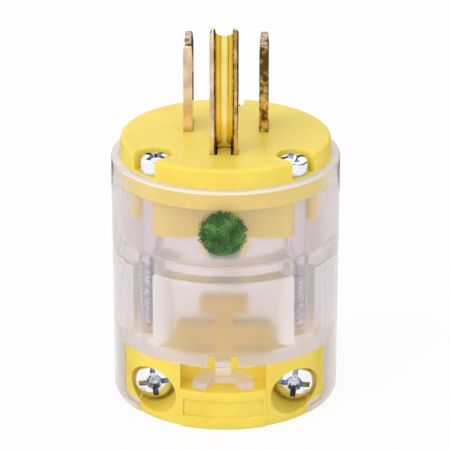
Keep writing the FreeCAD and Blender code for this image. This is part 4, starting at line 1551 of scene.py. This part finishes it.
@dataclass
class CordClamp:
    """Yellow front half of the cord grip."""

    layout: Layout
    gap: float = 0.1
    toe_gap: float = 0.03
    height: float = 11.7
    front_steps: int = 128
    panel_radius: float = 18.0
    panel_half: float = 7.2
    panel_proud: float = 0.3
    panel_bite: float = 0.5
    band_steps: int = 48
    pocket_low: float = 6.7
    pocket_back: float = -12.2
    plate_half: float = 6.75
    plate_low: float = 2.1
    plate_high: float = 5.1
    plate_depth: float = 0.3
    tongue_rear: float = -9.0
    tongue: tuple[Point, ...] = ((1.5, 6.7), (1.5, 13.2), (7.5, 13.2), (7.5, 17.0), (1.5, 17.0),
                                 (1.5, 19.1), (3.9, 19.1), (3.9, 21.5))
    head_pocket: float = 3.9
    pocket_steps: int = 96
    screw_hole: float = 1.95
    soft: float = 0.22
    soft_angle: float = 35.0

    def front_arc(self, radius: float, half: float, steps: int) -> list[Point]:
        """Arc about the plug's axis on its front side, from left to right, seen from above."""
        swing = math.degrees(math.asin(half / radius))
        return arc((0.0, 0.0), radius, -90.0 - swing, -90.0 + swing, steps)

    def band(self, name: str, inner: float, outer: float, half: float, low: float, high: float) -> Solid:
        """Curved strip about the plug's axis on its front side.

        Args:
            name: name of the object.
            inner: radius of its back.
            outer: radius of its front.
            half: half its width across.
            low: height of its foot.
            high: height of its top.

        Returns:
            The strip.
        """
        outline = self.front_arc(outer, half, self.band_steps)
        outline += reversed(self.front_arc(inner, half, self.band_steps))
        return Solid.prism(name, outline, Axis.Z, low, high)

    def slab(self) -> Solid:
        """Main block with its round front and the proud panel.

        Returns:
            The block.
        """
        plan = self.layout
        wide = plan.window_half - self.gap
        radius = self.panel_radius - self.panel_proud
        outline = self.front_arc(radius, wide, self.front_steps)
        outline += [(wide, -plan.jaw_half_gap), (-wide, -plan.jaw_half_gap)]
        slab = Solid.prism("yellow_clamp", outline, Axis.Z, 0.0, self.height)
        inner = radius - self.panel_bite
        return slab.join(self.band("panel", inner, self.panel_radius, self.panel_half, 0.0, self.height))

    def toe_cutters(self) -> list[Solid]:
        """Cutters that keep the lower corners clear of the housing's toes.

        Returns:
            A cutter for each side.
        """
        plan = self.layout
        toe, outside = plan.toe_half - self.toe_gap, plan.window_half + PAST
        bend = plan.toe_bend(plan.toe_round - self.toe_gap)
        corners = [(outside, bend[-1][1]), (outside, -PAST), (toe, -PAST), (toe, bend[0][1]), *bend]
        cutters = []
        for side in SIDES:
            outline = [(x * side, z) for x, z in corners]
            cutters.append(Solid.prism("toe_cutter", outline, Axis.Y, -self.panel_radius - PAST, PAST))
        return cutters

    def part_of(self, face: Face) -> ClampPart:
        """Tell whether a face belongs to the tongue, which stands above the block."""
        # faces above the block take the darker yellow of painted shade
        return ClampPart.TONGUE if face.center.z > self.height + HAIR else ClampPart.BLOCK

    def build(self, materials: Materials) -> bpy.types.Object:
        """Make the clamp.

        Args:
            materials: finishes of the block and of its tongue, which is a darker copy of the yellow as
                painted shade.

        Returns:
            The finished piece.
        """
        plan = self.layout
        front = -self.panel_radius - PAST
        screws = [plan.clamp_screw_place(side) for side in SIDES]
        clamp = self.slab().cut(*self.toe_cutters())
        pocket = oblong(-self.panel_half, front, self.panel_half, self.pocket_back)
        clamp.cut(Solid.prism("pocket_cutter", pocket, Axis.Z, self.pocket_low, self.height + PAST))
        clamp.join(Solid.prism("tongue", mirrored(self.tongue), Axis.Y, self.pocket_back, self.tongue_rear))
        clamp.cut(self.band("plate_cutter", self.panel_radius - self.plate_depth, self.panel_radius + PAST,
                            self.plate_half, self.plate_low, self.plate_high))
        for place in screws:
            clamp.cut(Solid.rod("pocket_cutter", place, self.head_pocket, Axis.Y, front,
                                plan.clamp_screw_seat, self.pocket_steps))
        clamp.soften(self.soft, segments=3, angle=self.soft_angle)
        for place in screws:
            clamp.cut(Solid.rod("hole_cutter", place, self.screw_hole, Axis.Y, front, PAST))
        clamp.cut(*plan.bore_cutters(self.height))
        return clamp.paint(self.part_of).finish(materials, "yellow_nylon", "cord_clamp")


class ScrewPart(Enum):
    """Which of a screw's finishes a face takes."""

    HEAD = 0
    RECESS = 1
    THREAD = 2


@dataclass
class CrossScrew:
    """Machine screw with a domed head, a cross recess and a rolled thread, pointing down its own axis."""

    head_radius: float
    head_height: float
    dome: float
    recess_reach: float
    recess_half: float
    recess_depth: float
    thread_radius: float
    thread_length: float
    length: float
    head_chamfer: float = 0.12
    head_steps: int = 64
    dome_flat: float = 0.55
    dome_share: float = 0.9
    dome_steps: int = 8
    tip_share: float = 0.6
    tip_length: float = 0.8
    run_out: float = 0.3
    wing_past: float = 0.4
    wing_waist: float = 0.5
    wing_waist_share: float = 0.92
    wing_foot_share: float = 0.35
    cone_share: float = 0.48
    cone_foot_share: float = 0.6
    cone_drop: float = 0.2
    cone_steps: int = 32
    sunk_from: float = 0.2
    sunk_depth: float = 0.06
    thread_pitch: float = 0.8
    thread_depth: float = 0.32
    thread_bite: float = 0.1
    thread_start: float = 0.6
    thread_stop: float = 1.0
    crest_shares: Span = (0.42, 0.5)
    ridge_share: float = 0.92
    steps_per_turn: int = 24
    smooth_angle: float = 28.0

    def core(self) -> float:
        """Radius at the root of the thread."""
        return self.thread_radius - self.thread_depth

    def head_and_shank(self) -> Solid:
        """Turned head and plain core; the seat under the head is at height zero.

        Returns:
            The turned solid.
        """
        core, shank, tip = self.core(), self.thread_radius, -self.length
        plain_foot = self.thread_length - self.length
        edge = self.head_height - self.dome
        section: list[Point] = [(0.0, tip), (core * self.tip_share, tip), (core, tip + self.tip_length)]
        section += [(core, plain_foot), (shank, plain_foot + self.run_out), (shank, 0.0)]
        section += [(self.head_radius - self.head_chamfer, 0.0), (self.head_radius, self.head_chamfer)]
        for across, up in arc((0.0, 0.0), 1.0, 0.0, 90.0, self.dome_steps):
            radius = self.head_radius * (self.dome_flat + (1.0 - self.dome_flat) * across)
            section.append((radius, edge + self.dome * self.dome_share * up))
        section.append((0.0, self.head_height))
        return Solid.lathe("screw", section, self.head_steps)

    def crown(self, radius: float) -> float:
        """Height of the domed head at a distance from its axis."""
        share = min(1.0, max(0.0, (radius / self.head_radius - self.dome_flat) / (1.0 - self.dome_flat)))
        return self.head_height - self.dome + self.dome * self.dome_share * math.sqrt(1.0 - share ** 2)

    def recess(self) -> list[Solid]:
        """Cutters of the cross recess.

        Returns:
            Two tapered wings square to each other and the cone in their middle.
        """
        reach, half = self.recess_reach, self.recess_half
        top, deep = self.head_height + self.wing_past, self.head_height - self.recess_depth
        waist, foot = reach * self.wing_waist_share, reach * self.wing_foot_share
        wing = mirrored([(reach, top), (waist, self.head_height - self.wing_waist), (foot, deep)])
        cutters = [Solid.prism("wing_cutter", wing, axis, -half, half) for axis in (Axis.Y, Axis.X)]
        mouth, cone_foot = reach * self.cone_share, half * self.cone_foot_share
        bend, low = self.head_height - self.cone_drop, deep - self.cone_drop
        cone = [(0.0, top), (mouth, top), (mouth, bend), (cone_foot, low), (0.0, low)]
        return cutters + [Solid.lathe("cone_cutter", cone, self.cone_steps)]

    def thread(self) -> Solid:
        """Helical ridge of the thread, swept up the core by a turning spin.

        Returns:
            The ridge.
        """
        pitch, root = self.thread_pitch, self.core() - self.thread_bite
        turns = (self.thread_length - self.thread_stop) / pitch
        base = self.thread_start - self.length
        crest = [(self.thread_radius, base + pitch * share) for share in self.crest_shares]
        corners = [(root, base), *crest, (root, base + pitch * self.ridge_share)]
        bm = bmesh.new()
        face = bm.faces.new([bm.verts.new((radius, 0.0, height)) for radius, height in corners])
        bmesh.ops.spin(
            bm, geom=[face, *face.edges, *face.verts], cent=(0, 0, 0), axis=(0, 0, 1),
            dvec=(0, 0, pitch / self.steps_per_turn), angle=math.tau * turns,
            steps=int(turns * self.steps_per_turn), use_merge=False, use_duplicate=False,
        )
        return Solid("thread", bm).paint(lambda face: ScrewPart.THREAD)

    def part_of(self, face: Face) -> ScrewPart:
        """Tell which finish a face of the head or of the shank takes.

        Args:
            face: the face.

        Returns:
            Its part.
        """
        across = math.hypot(face.center.x, face.center.y)
        if face.center.z < self.thread_length - self.length:
            return ScrewPart.THREAD
        sunk = self.sunk_from < face.center.z < self.crown(across) - self.sunk_depth
        # faces sunk in the cross recess take the darker zinc: painted shade
        return ScrewPart.RECESS if sunk and across < self.recess_reach else ScrewPart.HEAD

    def build(self, name: str, node: str, places: Sequence[Matrix],
              materials: Materials) -> bpy.types.Object:
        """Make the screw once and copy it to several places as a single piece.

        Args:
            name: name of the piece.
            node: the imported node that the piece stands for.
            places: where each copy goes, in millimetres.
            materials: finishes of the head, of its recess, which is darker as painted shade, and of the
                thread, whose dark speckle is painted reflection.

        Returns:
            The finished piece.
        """
        parts = [self.head_and_shank().cut(*self.recess()).paint(self.part_of), self.thread()]
        bm = bmesh.new()
        for place in places:
            for part in parts:
                fresh = len(bm.verts)
                bm.from_mesh(part.object.data)
                bm.verts.ensure_lookup_table()
                bmesh.ops.transform(bm, matrix=place, verts=bm.verts[fresh:])
        for part in parts:
            part.discard()
        return Solid(name, bm).finish(materials, "zinc_steel", node, smooth_angle=self.smooth_angle)


@dataclass
class ScrewSet:
    """The assembly screws and the clamp screws, each turned as it was left by the screwdriver."""

    layout: Layout
    assembly_turns: tuple[float, ...] = (20.0, -35.0, 10.0)
    clamp_turns: tuple[float, ...] = (8.0, -6.0)

    def build(self, materials: Materials) -> list[bpy.types.Object]:
        """Make both groups of screws.

        Args:
            materials: finishes of the heads, of their recesses, which are darker as painted shade, and of
                the threads, whose dark speckle is painted reflection.

        Returns:
            The two finished groups.
        """
        plan = self.layout
        long_screw = CrossScrew(
            head_radius=2.575, head_height=2.75, dome=0.75,
            recess_reach=2.25, recess_half=0.42, recess_depth=1.5,
            thread_radius=plan.screw_radius, thread_length=11.5, length=27.3,
        )
        short_screw = CrossScrew(
            head_radius=3.3, head_height=2.6, dome=1.3,
            recess_reach=2.85, recess_half=0.48, recess_depth=1.7,
            thread_radius=1.75, thread_length=9.0, length=16.4,
        )
        upright = [
            Matrix.Translation((x, y, plan.screw_seat)) @ Matrix.Rotation(math.radians(turn), 4, "Z")
            for (x, y), turn in zip(plan.screw_places(), self.assembly_turns)
        ]
        tip_over = Matrix.Rotation(math.radians(90.0), 4, "X")
        level = [
            Matrix.Translation((plan.clamp_screw_x * side, plan.clamp_screw_seat, plan.clamp_screw_z))
            @ tip_over @ Matrix.Rotation(math.radians(turn), 4, "Z")
            for side, turn in zip(SIDES, self.clamp_turns)
        ]
        return [
            long_screw.build("assembly_screws_zinc", "assembly_screws", upright, materials),
            short_screw.build("clamp_screws_zinc", "clamp_screws", level, materials),
        ]


@dataclass
class GreenDot:
    """Round green mark printed on the front of the housing."""

    layout: Layout
    reach: float = 4.4
    lift: float = 0.004
    thickness: float = 0.006
    rings: int = 12
    spokes: int = 64

    def build(self, materials: Materials) -> bpy.types.Object:
        """Make the mark as a thin curved patch.

        Args:
            materials: the ink.

        Returns:
            The finished piece.
        """
        plan = self.layout
        rim = [self.reach * step / self.rings for step in range(1, self.rings + 1)]
        section: list[Point] = [(0.0, 0.0)] + [(radius, 0.0) for radius in rim]
        section += [(radius, self.thickness) for radius in reversed(rim)] + [(0.0, self.thickness)]
        dot = Solid.lathe("green_dot", section, self.spokes)
        for vert in dot.object.data.vertices:
            across, up, out = vert.co
            radius = plan.wall_radius(plan.dot_height + up) + self.lift + out
            vert.co = (across, -math.sqrt(radius ** 2 - across ** 2), plan.dot_height + up)
        return dot.finish(materials, "green_steel")


def dress_nodes(shop: Workshop, finishes: dict[str, Finish]) -> None:
    """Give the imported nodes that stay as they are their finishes.

    Args:
        shop: makes the materials.
        finishes: finish of each node.
    """
    for node, finish in finishes.items():
        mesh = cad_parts[node].data
        mesh.materials.clear()
        mesh.materials.append(shop.materials(finish)[0])
        log.info("%s keeps its packed shape, in %s", node, finish.name)


@dataclass(frozen=True)
class Lamp:
    """Square soft lamp, with its sizes in metres and its power in watts."""

    name: str
    place: Place
    size: float
    power: float

    def hang(self, target: Vector) -> None:
        """Hang the lamp so that it faces a place.

        Args:
            target: the place.
        """
        data = bpy.data.lights.new(self.name, "AREA")
        data.size = self.size
        data.energy = self.power
        lamp = linked_object(self.name, data)
        lamp.location = self.place
        lamp.rotation_euler = (Vector(self.place) - target).to_track_quat("Z", "Y").to_euler()


@dataclass(frozen=True)
class Flag:
    """Dark card outside the view, which gives the metal its dark reflections, with its sizes in metres."""

    name: str
    place: Place
    facing: Place
    width: float
    height: float
    colour: Colour = (0.02, 0.02, 0.022)

    def stand(self) -> None:
        """Stand the card in the studio, seen by reflections only."""
        bm = bmesh.new()
        bmesh.ops.create_grid(bm, x_segments=1, y_segments=1, size=0.5)
        bmesh.ops.scale(bm, vec=(self.width, self.height, 1.0), verts=bm.verts)
        turn = Vector(self.facing).to_track_quat("Z", "Y").to_matrix().to_4x4()
        bmesh.ops.transform(bm, matrix=Matrix.Translation(self.place) @ turn, verts=bm.verts)
        card = linked_mesh(self.name, bm)
        graph = FinishGraph(f"{self.name}_card")
        graph.dress({"Base Color": (*self.colour, 1.0)})
        card.data.materials.append(graph.material)
        card.visible_camera = False
        card.visible_diffuse = False
        card.visible_transmission = False
        card.visible_shadow = False


@dataclass(frozen=True)
class Studio:
    """White sweep, surroundings, lamps, dark cards and camera, in metres; the sensor is in millimetres."""

    focal_pixels: float = 3372.8
    image_pixels: float = 450.0
    distance: float = 0.5719
    elevation: float = 21.69
    azimuth: float = 1.5
    aim_height: float = 0.02983
    right_pixels: float = 0.645
    sensor: float = 36.0
    clip_end: float = 10.0
    floor_half: float = 3.0
    paper: Colour = (0.86, 0.86, 0.86)
    paper_roughness: float = 0.9
    paper_glow: float = 0.88
    sky: Span = (0.92, 1.0)
    lamps: tuple[Lamp, ...] = (
        Lamp("key_lamp", (-0.55, -0.45, 0.75), size=0.5, power=2.2),
        Lamp("fill_lamp", (-0.05, -0.9, 0.2), size=0.6, power=0.9),
    )
    flags: tuple[Flag, ...] = (
        Flag("right_flag", (0.045, 0.035, 0.0445), (-1.0, 0.0, 0.0), width=0.17, height=0.021),
        Flag("rear_flag", (0.0, 0.09, 0.021), (0.0, -1.0, 0.0), width=0.30, height=0.040),
        Flag("front_flag", (0.0, -0.75, 0.62), (0.0, 0.75, -0.55), width=0.7, height=0.55),
    )

    def aim(self) -> Vector:
        """Place on the plug at which the camera and the lamps point."""
        return Vector((0.0, 0.0, self.aim_height))

    def camera(self) -> None:
        """Stand the camera where the view of the plug asks for it."""
        data = bpy.data.cameras.new("camera")
        data.sensor_width = self.sensor
        data.lens = self.focal_pixels / self.image_pixels * self.sensor
        data.shift_x = -self.right_pixels / self.image_pixels
        data.clip_end = self.clip_end
        eye = linked_object("camera", data)
        turn, rise = math.radians(self.azimuth), math.radians(self.elevation)
        back = Vector((math.sin(turn) * math.cos(rise), -math.cos(turn) * math.cos(rise), math.sin(rise)))
        eye.location = self.aim() + back * self.distance
        eye.rotation_euler = back.to_track_quat("Z", "Y").to_euler()
        bpy.context.scene.camera = eye

    def floor(self) -> None:
        """White floor that still takes the plug's shadow."""
        bm = bmesh.new()
        bmesh.ops.create_grid(bm, x_segments=1, y_segments=1, size=self.floor_half)
        ground = linked_mesh("floor", bm)
        graph = FinishGraph("white_sweep")
        graph.dress({"Base Color": (*self.paper, 1.0), "Roughness": self.paper_roughness})
        glow = graph.add("ShaderNodeEmission", {}).outputs["Emission"]
        graph.mix(graph.calculate("MULTIPLY", graph.seen(), self.paper_glow), glow)
        ground.data.materials.append(graph.material)

    def world(self) -> None:
        """Even pale surroundings, white where they are seen."""
        world = bpy.data.worlds.new("surroundings")
        bpy.context.scene.world = world
        world.use_nodes = True
        graph = Graph(world.node_tree)
        background = graph.tree.nodes["Background"]
        graph.feed(background.inputs["Color"], (1.0, 1.0, 1.0, 1.0))
        graph.feed(background.inputs["Strength"], graph.spread(graph.seen(), self.sky, (0.0, 1.0)))

    def set_up(self) -> None:
        """Make the whole studio."""
        bpy.context.scene.view_settings.view_transform = "Standard"
        self.camera()
        self.floor()
        self.world()
        for lamp in self.lamps:
            lamp.hang(self.aim())
        for flag in self.flags:
            flag.stand()


def main() -> None:
    """Build the plug's pieces in order, dress them and set up the studio."""
    logging.basicConfig(level=logging.INFO, format="%(message)s")
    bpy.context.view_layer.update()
    shop = Workshop()
    plan = Layout.from_frame()
    ink = DotFinish("green_dot_ink", radius=plan.dot_radius * MM, height=plan.dot_height * MM)
    pieces = [
        Shell(plan).build(shop.materials(CLEAR, FROSTED, MILKY, PINK, RUBBED_RIM, POLISHED)),
        FaceBody(plan).build(shop.materials(YELLOW)),
        CordClamp(plan).build(shop.materials(YELLOW, SHADED_YELLOW)),
        Blade(plan, "line_blade", -1).build(shop.materials(BRASS, SHEARED, TIP_REFLECTION_BRASS)),
        # the right blade's cut edge is darker than the left blade's: painted reflection
        Blade(plan, "neutral_blade", 1).build(shop.materials(BRASS, SPOTTED_REFLECTION_EDGE, TIP_REFLECTION_BRASS)),
        GroundPin(plan).build(shop.materials(BRASS, SHEARED, CHANNEL_SHADE_BRASS, RIGHT_EDGE_REFLECTION_BRASS)),
        *ScrewSet(plan).build(shop.materials(ZINC, RECESS_SHADE_ZINC, THREAD_ZINC)),
        GreenDot(plan).build(shop.materials(ink)),
    ]
    for piece in pieces:
        log.info("%s has %d faces", piece.name, len(piece.data.polygons))
    dress_nodes(shop, {
        "blade_retainer": YELLOW,
        "retainer_screw": ZINC,
        "line_wire_plate": BRASS,
        "neutral_wire_plate": BRASS,
        "ground_wire_plate": BRASS,
        "line_terminal_screw": TURNED_BRASS,
        "neutral_terminal_screw": ZINC,
        "ground_terminal_screw": GREEN_CHROMATE,
    })
    Studio().set_up()


if __name__ == "__main__":
    main()
